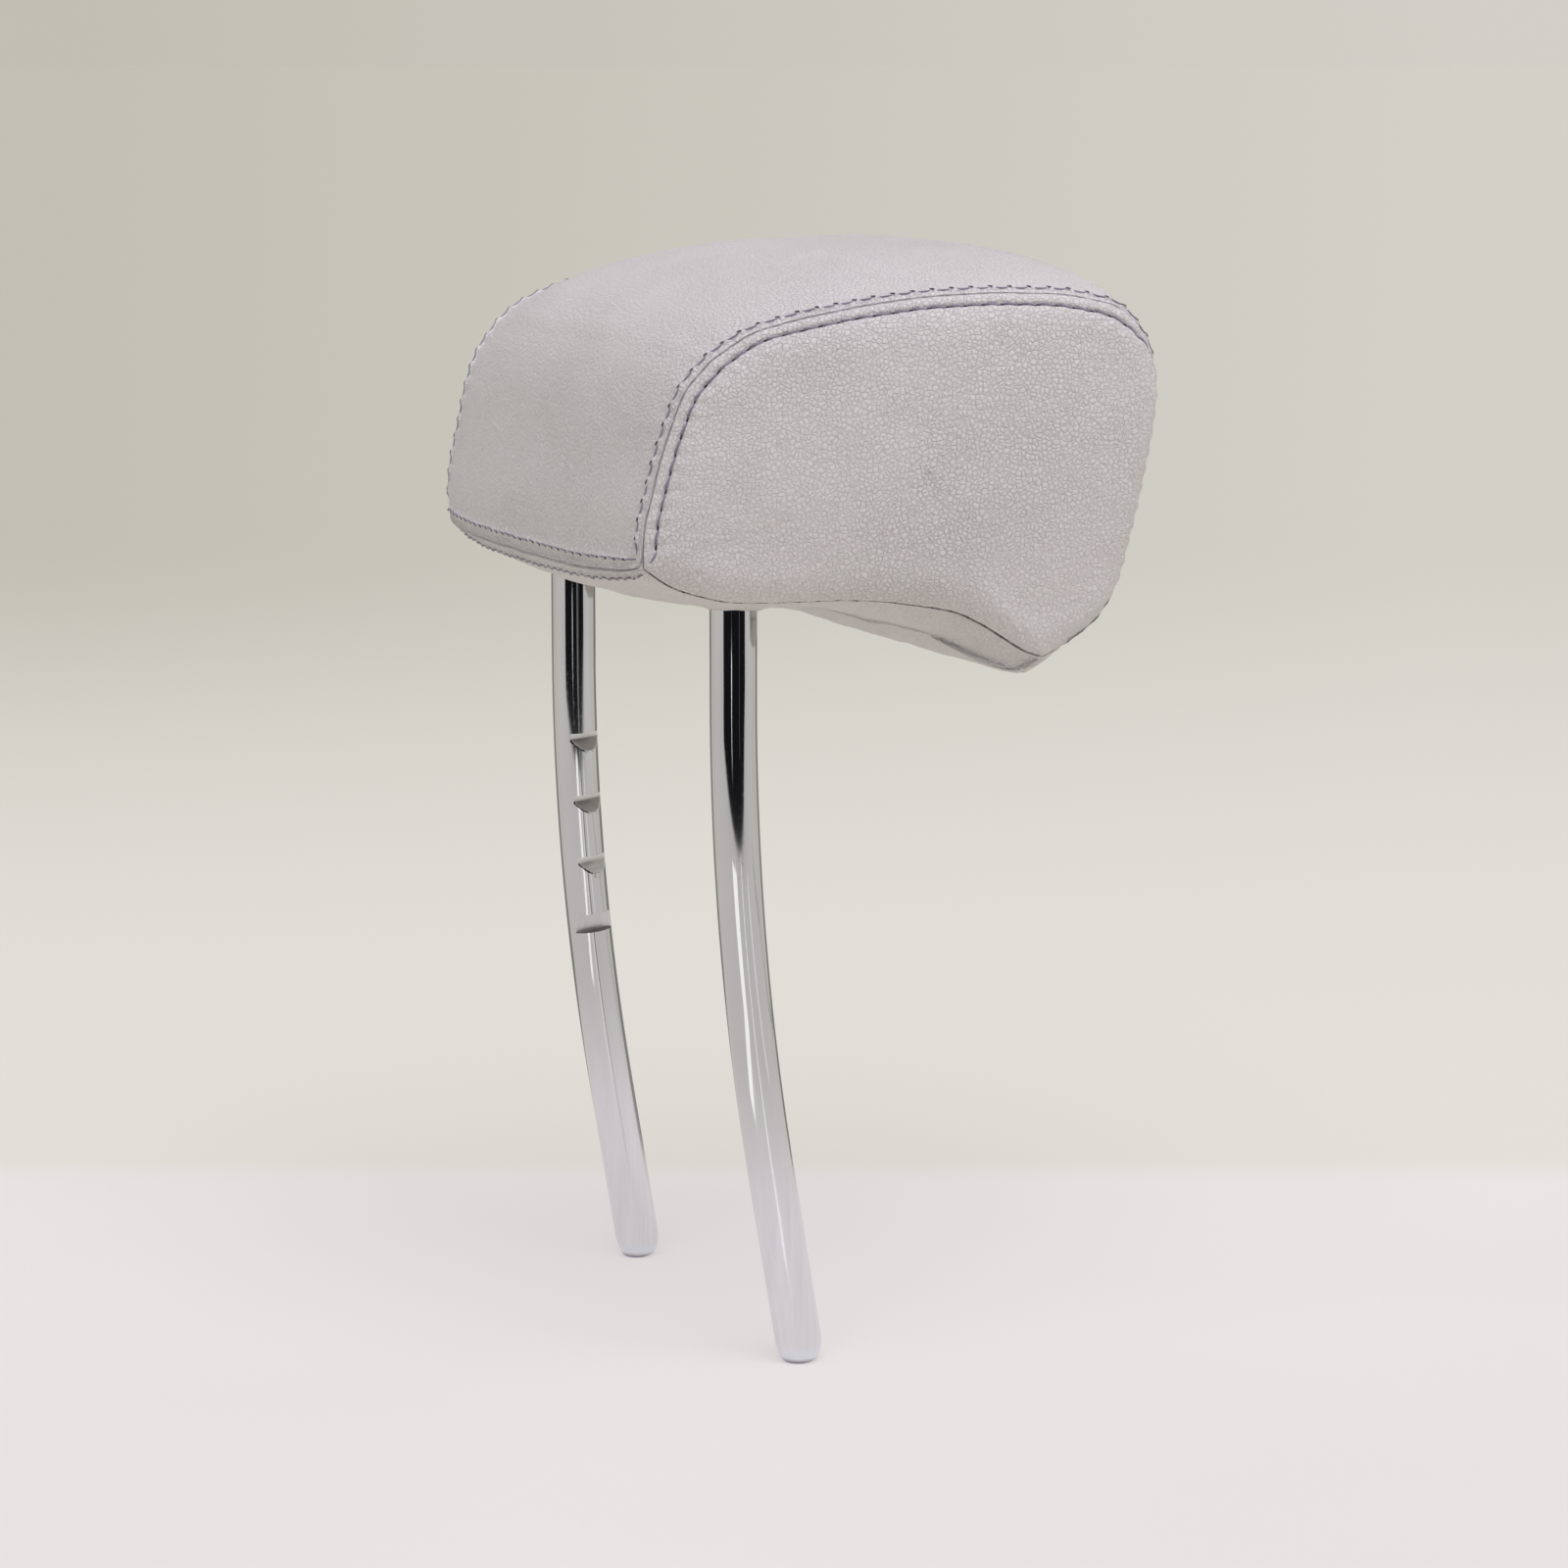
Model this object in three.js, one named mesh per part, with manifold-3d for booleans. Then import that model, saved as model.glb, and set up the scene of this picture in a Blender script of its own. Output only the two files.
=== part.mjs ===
// Car seat headrest: a stuffed leather pad on a bent chrome post frame.
// Millimetres, +Z up. The origin lies midway between the two post tips.
// -Y is the side that the head leans on, +Y the rear, X runs across the seat.

import * as THREE from 'three';
import { mergeVertices } from 'three/addons/utils/BufferGeometryUtils.js';
import Module from 'manifold-3d';

const wasm = await Module();
wasm.setup();

// post frame
const postDiameter = 14;
const postSpacing = 140;
const lowerLength = 61;
const lowerTiltDeg = 9.5;
const bendLength = 142;
const tipFlatDiameter = 10;
const tipChamferLength = 4.5;
const topBendRadius = 28;

// height notches in the +X post
const stopHeight = 111.4;
const stopBand = 5.8;
const stopDepth = 4.2;
const firstNotchAboveStop = 23;
const notchPitch = 20.1;
const notchCount = 3;
const notchDepth = 2.8;
const notchBand = 1.8;
const notchRamp = 4;
const notchTurnDeg = 21;

// pad outline, seen from the side
const padFloorHeight = 234;
const padDepth = 148.5;
const padHeight = 89;
const padBehindPosts = 35.2;
const lipDrop = 17.5;
const rearWidth = 186;
const frontWidth = 242;
const bottomNarrowing = 5;

// how far each panel bulges past its seams
const cornerCrown = 7;
const rearCrown = 6.5;
const topCrown = 11;
const frontCrown = 14;
const lipCrown = 18;
const lipSeamCrown = 12;
const bellyFrontCrown = 11;
const bellyCrown = 7;
const bellyRearCrown = 6.5;
const sideCrown = 8;
// the side panels roll round onto the front, so their front seams lie inboard by this much
const frontTuck = 7;
const tuckRoll = 9;
const tuckRun = [0.6, 0.7, 0.94, 1];

// cover, foam and inner carrier
const coverThickness = 2.5;
const seamGap = 0.3;
const fitClearance = 0.3;
const carrierWall = 3;
const carrierDepth = 32;
const carrierBesidePosts = 8;
const crossBarToCarrierTop = 4;
const crossBarRise = 36;
const ribThickness = 3;
const screwDiameter = 4;
const screwHeadDiameter = 8;
const screwHeadHeight = 2.6;
const screwLength = 22;
const bossDiameter = 10;
const outerBossInset = 42;
const innerBossOffset = 14;
const outerBossRise = 7.5;
const innerBossRise = 16;
const middleRibOffset = 21;
const closureLength = 88;
const closureHeight = 4;
const closureWall = 1.2;
const closureHookDepth = 5;
const closureFlangeDepth = 9;
const holeClearance = 0.6;

// mesh fineness
const wrapSteps = 36;
const bottomSteps = 14;
const sideRings = [1, 0.98, 0.95, 0.85, 0.55];
const crossStations = [-1, -0.96, -0.87, -0.7, -0.4, 0, 0.4, 0.7, 0.87, 0.96, 1];
const rodSides = 20;

// derived places
const postRadius = postDiameter / 2;
const halfSpacing = postSpacing / 2;
const lowerTilt = THREE.MathUtils.degToRad(lowerTiltDeg);
const bendRadius = bendLength / lowerTilt;
const postTopY = lowerLength * Math.sin(lowerTilt) + bendRadius * (1 - Math.cos(lowerTilt));
const bendTopZ = lowerLength * Math.cos(lowerTilt) + bendRadius * Math.sin(lowerTilt);
const padRearY = postTopY + padBehindPosts;

const materials = {
  chrome: { color: 0xc9ccd2, metalness: 1, roughness: 0.12 },
  leather: { color: 0xc8c2c9, metalness: 0, roughness: 0.55 },
  foam: { color: 0xe4dcb8, metalness: 0, roughness: 0.95 },
  plastic: { color: 0x2c2d30, metalness: 0, roughness: 0.6 },
  zinc: { color: 0xa9adb1, metalness: 1, roughness: 0.35 },
};

const part = new THREE.Group();

function addPiece(name, geometry, look) {
  const piece = new THREE.Mesh(geometry, new THREE.MeshStandardMaterial(look));
  piece.name = name;
  part.add(piece);
  return piece;
}

// solids: conversion, joining and cutting
function toSolid(geometry) {
  const bare = geometry.clone();
  for (const key of Object.keys(bare.attributes)) {
    if (key !== 'position') {
      bare.deleteAttribute(key);
    }
  }
  const merged = mergeVertices(bare, 1e-4);
  return new wasm.Manifold(new wasm.Mesh({
    numProp: 3,
    vertProperties: new Float32Array(merged.attributes.position.array),
    triVerts: new Uint32Array(merged.index.array),
  }));
}

function toGeometry(solid) {
  const mesh = solid.getMesh();
  const geometry = new THREE.BufferGeometry();
  geometry.setAttribute('position', new THREE.BufferAttribute(new Float32Array(mesh.vertProperties), 3));
  geometry.setIndex(new THREE.BufferAttribute(new Uint32Array(mesh.triVerts), 1));
  return geometry;
}

function cut(base, tools) {
  return tools.reduce((rest, tool) => rest.subtract(tool), base);
}

function join(base, additions) {
  return additions.reduce((sum, item) => sum.add(item), base);
}

function boxSolid(x0, x1, y0, y1, z0, z1) {
  const box = new THREE.BoxGeometry(x1 - x0, y1 - y0, z1 - z0);
  box.translate((x0 + x1) / 2, (y0 + y1) / 2, (z0 + z1) / 2);
  return toSolid(box);
}

function rodAlongY(radius, x, z, y0, y1, sides = 20) {
  const rod = new THREE.CylinderGeometry(radius, radius, y1 - y0, sides);
  rod.translate(x, (y0 + y1) / 2, z);
  return toSolid(rod);
}

// sweep of a round bar, whose radius may change along it
function sweepRound(points, radii, sides) {
  const positions = [];
  const index = [];
  const tangent = new THREE.Vector3();
  const side = new THREE.Vector3(0, 1, 0);
  const up = new THREE.Vector3();
  points.forEach((point, i) => {
    const before = points[Math.max(i - 1, 0)];
    const after = points[Math.min(i + 1, points.length - 1)];
    tangent.subVectors(after, before).normalize();
    side.addScaledVector(tangent, -side.dot(tangent)).normalize();
    up.crossVectors(tangent, side);
    for (let k = 0; k < sides; k += 1) {
      const angle = (k / sides) * 2 * Math.PI;
      const spot = point.clone();
      spot.addScaledVector(side, radii[i] * Math.cos(angle));
      spot.addScaledVector(up, radii[i] * Math.sin(angle));
      positions.push(spot.x, spot.y, spot.z);
    }
  });
  for (let i = 0; i < points.length - 1; i += 1) {
    for (let k = 0; k < sides; k += 1) {
      const a = i * sides + k;
      const b = i * sides + ((k + 1) % sides);
      index.push(a, b, b + sides, a, b + sides, a + sides);
    }
  }
  const last = (points.length - 1) * sides;
  for (let k = 1; k < sides - 1; k += 1) {
    index.push(0, k + 1, k);
    index.push(last, last + k, last + k + 1);
  }
  const geometry = new THREE.BufferGeometry();
  geometry.setAttribute('position', new THREE.Float32BufferAttribute(positions, 3));
  geometry.setIndex(index);
  return geometry;
}

// centre line of one leg, from its tip to a given height
function legPoint(length) {
  if (length <= lowerLength) {
    return [length * Math.sin(lowerTilt), length * Math.cos(lowerTilt)];
  }
  if (length <= lowerLength + bendLength) {
    const turned = (length - lowerLength) / bendRadius;
    const y = lowerLength * Math.sin(lowerTilt)
      + bendRadius * (Math.cos(lowerTilt - turned) - Math.cos(lowerTilt));
    const z = lowerLength * Math.cos(lowerTilt)
      + bendRadius * (Math.sin(lowerTilt) - Math.sin(lowerTilt - turned));
    return [y, z];
  }
  return [postTopY, bendTopZ + length - lowerLength - bendLength];
}

// pad outline: shape ratios of the side view
// u runs from the rear corner (0) to the foremost seam (1); w above 0 is a ratio of the pad
// height, w below 0 a ratio of how far the front lip hangs down.
const wrapShape = [
  [0, 0.118], [0.004, 0.265], [0.024, 0.418], [0.048, 0.572], [0.076, 0.688], [0.107, 0.755],
  [0.139, 0.806], [0.225, 0.887], [0.407, 0.956], [0.592, 0.993], [0.778, 0.993], [0.872, 0.969],
  [0.925, 0.936], [0.97, 0.865], [0.997, 0.794], [1.012, 0.669], [1, 0.467], [0.964, 0.154],
  [0.937, -0.011], [0.896, -0.486], [0.838, -0.794], [0.785, -1],
];
const bottomShape = [
  [0.785, -1], [0.751, -0.897], [0.703, -0.651], [0.656, -0.4], [0.609, -0.234], [0.514, -0.069],
  [0.422, -0.011], [0.329, 0], [0.236, 0], [0.162, 0.006], [0.106, 0.028], [0.051, 0.062], [0, 0.118],
];

function outlineRun(shape, steps) {
  const curve = new THREE.SplineCurve(shape.map(([u, w]) => new THREE.Vector2(
    padRearY - u * padDepth,
    padFloorHeight + w * (w < 0 ? lipDrop : padHeight),
  )));
  return curve.getSpacedPoints(steps);
}

// crown of each run, given at even steps along it
const wrapCrowns = [cornerCrown, rearCrown, rearCrown, (rearCrown + topCrown) / 2, topCrown, topCrown,
  topCrown, (topCrown + frontCrown) / 2, frontCrown, frontCrown, frontCrown, lipCrown, lipSeamCrown];
const bottomCrowns = [lipSeamCrown, bellyFrontCrown, (bellyFrontCrown + bellyCrown) / 2, bellyCrown,
  bellyCrown, bellyRearCrown, cornerCrown];

function crownAt(values, ratio) {
  const place = ratio * (values.length - 1);
  const low = Math.min(Math.floor(place), values.length - 2);
  const t = place - low;
  const eased = t * t * (3 - 2 * t);
  return values[low] + (values[low + 1] - values[low]) * eased;
}

const wrapRun = outlineRun(wrapShape, wrapSteps);
const bottomRun = outlineRun(bottomShape, bottomSteps);
const loop = [...wrapRun.slice(0, -1), ...bottomRun.slice(0, -1)];
const loopCrowns = loop.map((_, i) => (i <= wrapSteps
  ? crownAt(wrapCrowns, i / wrapSteps)
  : crownAt(bottomCrowns, (i - wrapSteps) / bottomSteps)));
const loopTucks = loop.map((_, i) => {
  const ratio = i / wrapSteps;
  return frontTuck * THREE.MathUtils.smoothstep(ratio, tuckRun[0], tuckRun[1])
    * (1 - THREE.MathUtils.smoothstep(ratio, tuckRun[2], tuckRun[3]));
});
const loopCount = loop.length;

function halfWidthAt(y, z) {
  const forward = (padRearY - y) / padDepth;
  const upward = THREE.MathUtils.clamp((z - padFloorHeight) / padHeight, 0, 1);
  return (rearWidth + (frontWidth - rearWidth) * forward) / 2 - bottomNarrowing * (1 - upward);
}

function loopNormal(i) {
  const before = loop[(i + loopCount - 1) % loopCount];
  const after = loop[(i + 1) % loopCount];
  return new THREE.Vector2(before.y - after.y, after.x - before.x).normalize().negate();
}

// outer skin of the pad: one band around it and two side domes
const crossProfile = (v) => Math.pow(1 - Math.pow(Math.abs(v), 3), 0.8);
const domeProfile = (r) => Math.pow(1 - Math.pow(r, 3), 0.6);
const columns = crossStations.length;
const skin = [];
const bandIndex = (i, j) => (i % loopCount) * columns + j;

for (let i = 0; i < loopCount; i += 1) {
  const normal = loopNormal(i);
  crossStations.forEach((v) => {
    const lift = loopCrowns[i] * crossProfile(v);
    const y = loop[i].x + normal.x * lift;
    const z = loop[i].y + normal.y * lift;
    skin.push(new THREE.Vector3(v * (halfWidthAt(loop[i].x, loop[i].y) - loopTucks[i]), y, z));
  });
}

const sideCentre = loop.reduce((sum, p) => sum.add(p), new THREE.Vector2()).divideScalar(loopCount);
// distance from the middle of the side to the tangent of the seam at p
function seamReach(p, normal) {
  const spoke = new THREE.Vector2().subVectors(p, sideCentre);
  return Math.max(spoke.dot(normal), spoke.length() / 3);
}

const domeStart = { '-1': 0, 1: 0 };
const domeTip = { '-1': 0, 1: 0 };
for (const sign of [-1, 1]) {
  domeStart[sign] = skin.length;
  sideRings.slice(1).forEach((r) => {
    loop.forEach((p, i) => {
      const y = sideCentre.x + r * (p.x - sideCentre.x);
      const z = sideCentre.y + r * (p.y - sideCentre.y);
      const fromSeam = (1 - r) * seamReach(p, loopNormal(i));
      const shy = 1 - Math.min(fromSeam / tuckRoll, 1);
      const tucked = loopTucks[i] * (1 - Math.sqrt(1 - shy * shy));
      skin.push(new THREE.Vector3(sign * (halfWidthAt(y, z) + sideCrown * domeProfile(r) - tucked), y, z));
    });
  });
  domeTip[sign] = skin.length;
  const tipX = sign * (halfWidthAt(sideCentre.x, sideCentre.y) + sideCrown);
  skin.push(new THREE.Vector3(tipX, sideCentre.x, sideCentre.y));
}

const domeIndex = (sign, ring, i) => (ring === 0
  ? bandIndex(i, sign < 0 ? 0 : columns - 1)
  : domeStart[sign] + (ring - 1) * loopCount + (i % loopCount));

const bandFaces = [];
for (let i = 0; i < loopCount; i += 1) {
  for (let j = 0; j < columns - 1; j += 1) {
    const a = bandIndex(i, j);
    const b = bandIndex(i, j + 1);
    const c = bandIndex(i + 1, j + 1);
    const d = bandIndex(i + 1, j);
    bandFaces.push({ row: i, face: [a, c, b] }, { row: i, face: [a, d, c] });
  }
}

function domeFaces(sign) {
  const faces = [];
  const keep = (a, b, c) => faces.push(sign < 0 ? [a, c, b] : [a, b, c]);
  for (let ring = 0; ring < sideRings.length - 1; ring += 1) {
    for (let i = 0; i < loopCount; i += 1) {
      const a = domeIndex(sign, ring, i);
      const b = domeIndex(sign, ring, i + 1);
      const c = domeIndex(sign, ring + 1, i + 1);
      const d = domeIndex(sign, ring + 1, i);
      keep(a, b, c);
      keep(a, c, d);
    }
  }
  for (let i = 0; i < loopCount; i += 1) {
    const inner = sideRings.length - 1;
    keep(domeIndex(sign, inner, i), domeIndex(sign, inner, i + 1), domeTip[sign]);
  }
  return faces;
}

const leftDome = domeFaces(-1);
const rightDome = domeFaces(1);
const skinFaces = [...bandFaces.map((item) => item.face), ...leftDome, ...rightDome];

// offset of the skin: mitred at the seams so that walls keep their thickness
const normals = skin.map(() => new THREE.Vector3());
const touching = skin.map(() => []);
const edgeA = new THREE.Vector3();
const edgeB = new THREE.Vector3();
skinFaces.forEach(([a, b, c]) => {
  edgeA.subVectors(skin[b], skin[a]);
  edgeB.subVectors(skin[c], skin[a]);
  const flat = new THREE.Vector3().crossVectors(edgeA, edgeB);
  const unit = flat.clone().normalize();
  [a, b, c].forEach((k) => {
    normals[k].add(flat);
    touching[k].push(unit);
  });
});
normals.forEach((normal) => normal.normalize());
const mitres = normals.map((normal, k) => {
  const least = touching[k].reduce((low, unit) => Math.min(low, unit.dot(normal)), 1);
  return 1 / Math.max(least, 0.6);
});

function inset(k, depth) {
  return skin[k].clone().addScaledVector(normals[k], -depth * mitres[k]);
}

// a cover panel: a patch of the skin with its real thickness
function panelGeometry(faces) {
  const edges = new Map();
  faces.forEach(([a, b, c]) => {
    [[a, b], [b, c], [c, a]].forEach(([p, q]) => edges.set(`${p}_${q}`, [p, q]));
  });
  const rim = [...edges.values()].filter(([p, q]) => !edges.has(`${q}_${p}`));
  const rimSpots = new Set(rim.flat());
  const used = [...new Set(faces.flat())];
  const inward = new Map();
  faces.forEach((face) => {
    face.forEach((k) => {
      if (rimSpots.has(k)) {
        const sum = inward.get(k) ?? new THREE.Vector3();
        face.forEach((other) => sum.add(skin[other]).sub(skin[k]));
        inward.set(k, sum);
      }
    });
  });
  const order = new Map(used.map((k, n) => [k, n]));
  const positions = [];
  [0, coverThickness].forEach((depth) => {
    used.forEach((k) => {
      const spot = inset(k, depth);
      if (rimSpots.has(k)) {
        const away = inward.get(k).clone();
        away.addScaledVector(normals[k], -away.dot(normals[k])).normalize();
        spot.addScaledVector(away, seamGap);
      }
      positions.push(spot.x, spot.y, spot.z);
    });
  });
  const under = used.length;
  const index = [];
  faces.forEach(([a, b, c]) => {
    index.push(order.get(a), order.get(b), order.get(c));
    index.push(order.get(a) + under, order.get(c) + under, order.get(b) + under);
  });
  rim.forEach(([p, q]) => {
    const a = order.get(p);
    const b = order.get(q);
    index.push(a, a + under, b + under, a, b + under, b);
  });
  const geometry = new THREE.BufferGeometry();
  geometry.setAttribute('position', new THREE.Float32BufferAttribute(positions, 3));
  geometry.setIndex(index);
  return geometry;
}

const wrapFaces = bandFaces.filter((item) => item.row < wrapSteps).map((item) => item.face);
const bottomFaces = bandFaces.filter((item) => item.row >= wrapSteps).map((item) => item.face);

// post frame: one bar, bent into a U whose top lies inside the pad
function undersideZ(x, y) {
  const low = loop.findIndex((p, i) => i >= wrapSteps && loop[(i + 1) % loopCount].x > y);
  const heights = [low, low + 1].map((i) => {
    const j = crossStations.findIndex((_, k) => skin[bandIndex(i, k + 1)].x > x);
    const a = skin[bandIndex(i, j)];
    const b = skin[bandIndex(i, j + 1)];
    return THREE.MathUtils.mapLinear(x, a.x, b.x, a.z, b.z);
  });
  return THREE.MathUtils.mapLinear(y, loop[low].x, loop[(low + 1) % loopCount].x, ...heights);
}

const closureReachY = [postTopY - closureFlangeDepth, postTopY + closureHookDepth / 2];
const closureLowZ = Math.max(...closureReachY.map((y) => undersideZ(closureLength / 2, y)))
  + coverThickness + fitClearance;
const carrierFloorZ = padFloorHeight + coverThickness + fitClearance;
const crossBarZ = carrierFloorZ + crossBarRise;
const carrierTopZ = crossBarZ + postRadius + crossBarToCarrierTop;
const straightLength = crossBarZ - topBendRadius - bendTopZ;
const legLength = lowerLength + bendLength + straightLength;

function frameLine() {
  const stations = [0, tipChamferLength * 0.35, tipChamferLength, lowerLength * 0.5, lowerLength];
  const bendSteps = 8;
  for (let i = 1; i <= bendSteps; i += 1) {
    stations.push(lowerLength + (bendLength * i) / bendSteps);
  }
  stations.push(legLength);
  const leg = stations.map((length) => legPoint(length));
  const left = leg.map(([y, z]) => new THREE.Vector3(-halfSpacing, y, z));
  const turnSteps = 7;
  for (let i = 1; i <= turnSteps; i += 1) {
    const turned = (Math.PI / 2) * (i / turnSteps);
    left.push(new THREE.Vector3(
      -halfSpacing + topBendRadius * (1 - Math.cos(turned)),
      postTopY,
      crossBarZ - topBendRadius * (1 - Math.sin(turned)),
    ));
  }
  const right = left.map((p) => new THREE.Vector3(-p.x, p.y, p.z)).reverse();
  return [...left, ...right];
}

const barLine = frameLine();
const tipRadii = [tipFlatDiameter / 2, (tipFlatDiameter / 2 + 2 * postRadius) / 3];
const barRadii = barLine.map((_, i) => {
  const fromEnd = Math.min(i, barLine.length - 1 - i);
  return fromEnd < tipRadii.length ? tipRadii[fromEnd] : postRadius;
});
const bar = toSolid(sweepRound(barLine, barRadii, rodSides));

// a notch is cut across the inboard side of the +X post: a square shelf above, a short upright
// band at full depth, and either a ramp that runs out below it or a second square shelf
function notchTool(band, ramp, depth) {
  const profile = new THREE.Shape();
  profile.moveTo(-postDiameter, band);
  profile.lineTo(-postRadius + depth, band);
  profile.lineTo(-postRadius + depth, 0);
  profile.lineTo(-postRadius, -ramp);
  profile.lineTo(-postDiameter, -ramp);
  profile.closePath();
  const prism = new THREE.ExtrudeGeometry(profile, { depth: postDiameter * 2, bevelEnabled: false });
  prism.translate(0, 0, -postDiameter);
  prism.rotateX(Math.PI / 2);
  return prism;
}

function placedNotch(height, band, ramp, depth) {
  const tool = notchTool(band, ramp, depth);
  const [y, z] = legPoint(height);
  const lean = height < lowerLength ? lowerTilt
    : Math.max(0, lowerTilt - (height - lowerLength) / bendRadius);
  tool.rotateZ(THREE.MathUtils.degToRad(notchTurnDeg));
  tool.rotateX(-lean);
  tool.translate(halfSpacing, y, z);
  return toSolid(tool);
}

const notches = [placedNotch(stopHeight, stopBand, 0, stopDepth)];
for (let i = 0; i < notchCount; i += 1) {
  const height = stopHeight + firstNotchAboveStop + i * notchPitch;
  notches.push(placedNotch(height, notchBand, notchRamp, notchDepth));
}
addPiece('post_frame', toGeometry(cut(bar, notches)), materials.chrome);

// inner carrier: two moulded half shells, screwed together around the bar
const carrierHalfWidth = halfSpacing + postRadius + carrierBesidePosts;
const carrierFrontY = postTopY - carrierDepth / 2;
const carrierRearY = postTopY + carrierDepth / 2;
const barRoom = toSolid(sweepRound(barLine, barLine.map(() => postRadius + fitClearance), rodSides));
const bossPlaces = [];
for (const sign of [-1, 1]) {
  bossPlaces.push([sign * (carrierHalfWidth - outerBossInset), carrierFloorZ + outerBossRise]);
  bossPlaces.push([sign * innerBossOffset, carrierFloorZ + innerBossRise]);
}

function carrierHalf(front) {
  const partingY = postTopY + (front ? -seamGap / 2 : seamGap / 2);
  const outerY = front ? carrierFrontY : carrierRearY;
  const low = Math.min(partingY, outerY);
  const high = Math.max(partingY, outerY);
  const innerLow = front ? low + carrierWall : low - 1;
  const innerHigh = front ? high + 1 : high - carrierWall;
  const shell = boxSolid(-carrierHalfWidth, carrierHalfWidth, low, high, carrierFloorZ, carrierTopZ);
  const hollow = boxSolid(-carrierHalfWidth + carrierWall, carrierHalfWidth - carrierWall,
    innerLow, innerHigh, carrierFloorZ + carrierWall, carrierTopZ - carrierWall);
  const ribs = [];
  for (const x of [-middleRibOffset, middleRibOffset]) {
    ribs.push(boxSolid(x - ribThickness / 2, x + ribThickness / 2, low, high,
      crossBarZ - postRadius * 2, carrierTopZ - carrierWall / 2));
  }
  for (const sign of [-1, 1]) {
    const inner = sign * (halfSpacing - postRadius * 2);
    const outer = sign * (carrierHalfWidth - carrierWall / 2);
    ribs.push(boxSolid(Math.min(inner, outer), Math.max(inner, outer), low, high,
      carrierFloorZ + bossDiameter, carrierFloorZ + bossDiameter + ribThickness));
  }
  const bosses = bossPlaces.map(([x, z]) => rodAlongY(bossDiameter / 2, x, z, low, high));
  const body = join(cut(shell, [hollow]), [...ribs, ...bosses]);
  const holes = bossPlaces.map(([x, z]) => (front
    ? rodAlongY(screwDiameter / 2 + fitClearance, x, z, partingY - screwLength / 2 - 1, high + 1)
    : rodAlongY(screwDiameter / 2 + fitClearance, x, z, low - 1, high + 1)));
  const sinks = front ? [] : bossPlaces.map(([x, z]) => rodAlongY(screwHeadDiameter / 2 + fitClearance,
    x, z, high - screwHeadHeight - 2 * fitClearance, high + 1));
  return cut(body, [barRoom, ...holes, ...sinks]);
}

addPiece('carrier_front', toGeometry(carrierHalf(true)), materials.plastic);
addPiece('carrier_rear', toGeometry(carrierHalf(false)), materials.plastic);

// carrier screws
function screwGeometry() {
  const shank = screwDiameter / 2;
  const head = screwHeadDiameter / 2;
  const tip = screwDiameter * 0.6;
  const profile = [
    [0, 0], [shank * 0.4, 0], [shank, tip], [shank, screwLength],
    [head, screwLength], [head, screwLength + screwHeadHeight * 0.6],
    [head * 0.75, screwLength + screwHeadHeight], [head * 0.4, screwLength + screwHeadHeight],
    [head * 0.3, screwLength + screwHeadHeight * 0.4], [0, screwLength + screwHeadHeight * 0.4],
  ];
  return new THREE.LatheGeometry(profile.map(([r, h]) => new THREE.Vector2(r, h)), 16);
}

const headSeatY = carrierRearY - screwHeadHeight - fitClearance;
bossPlaces.forEach(([x, z], i) => {
  const screw = addPiece(`carrier_screw_${i + 1}`, toGeometry(toSolid(screwGeometry())), materials.zinc);
  screw.position.set(x, headSeatY - screwLength, z);
});

// foam core with the pocket that takes the carrier from below
const foamDepth = coverThickness + fitClearance;
const foamShell = new THREE.BufferGeometry();
const foamSpots = skin.map((_, k) => inset(k, foamDepth)).flatMap((p) => [p.x, p.y, p.z]);
foamShell.setAttribute('position', new THREE.Float32BufferAttribute(foamSpots, 3));
foamShell.setIndex(skinFaces.flat());
const pocket = boxSolid(
  -carrierHalfWidth - fitClearance, carrierHalfWidth + fitClearance,
  carrierFrontY - fitClearance, carrierRearY + fitClearance,
  padFloorHeight - lipDrop - bellyFrontCrown * 3, carrierTopZ + fitClearance,
);
addPiece('foam_core', toGeometry(cut(toSolid(foamShell), [pocket])), materials.foam);

// sewn cover panels
addPiece('cover_wrap_panel', panelGeometry(wrapFaces), materials.leather);
addPiece('cover_left_side_panel', panelGeometry(leftDome), materials.leather);
addPiece('cover_right_side_panel', panelGeometry(rightDome), materials.leather);

const postHoles = [-1, 1].map((sign) => {
  const hole = new THREE.CylinderGeometry(postRadius + holeClearance, postRadius + holeClearance,
    bellyCrown * 6, rodSides);
  hole.rotateX(Math.PI / 2);
  hole.translate(sign * halfSpacing, postTopY, padFloorHeight);
  return toSolid(hole);
});
const wide = frontWidth;
const tall = padHeight + lipDrop + bellyFrontCrown * 2;
const bottomPanel = cut(toSolid(panelGeometry(bottomFaces)), postHoles);
const frontHalfSpace = boxSolid(-wide, wide, postTopY - seamGap, postTopY + padDepth * 2,
  padFloorHeight - tall, padFloorHeight + tall);
const rearHalfSpace = boxSolid(-wide, wide, postTopY - padDepth * 2, postTopY + seamGap,
  padFloorHeight - tall, padFloorHeight + tall);
addPiece('cover_bottom_front_panel', toGeometry(bottomPanel.subtract(frontHalfSpace)), materials.leather);
addPiece('cover_bottom_rear_panel', toGeometry(bottomPanel.subtract(rearHalfSpace)), materials.leather);

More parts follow.
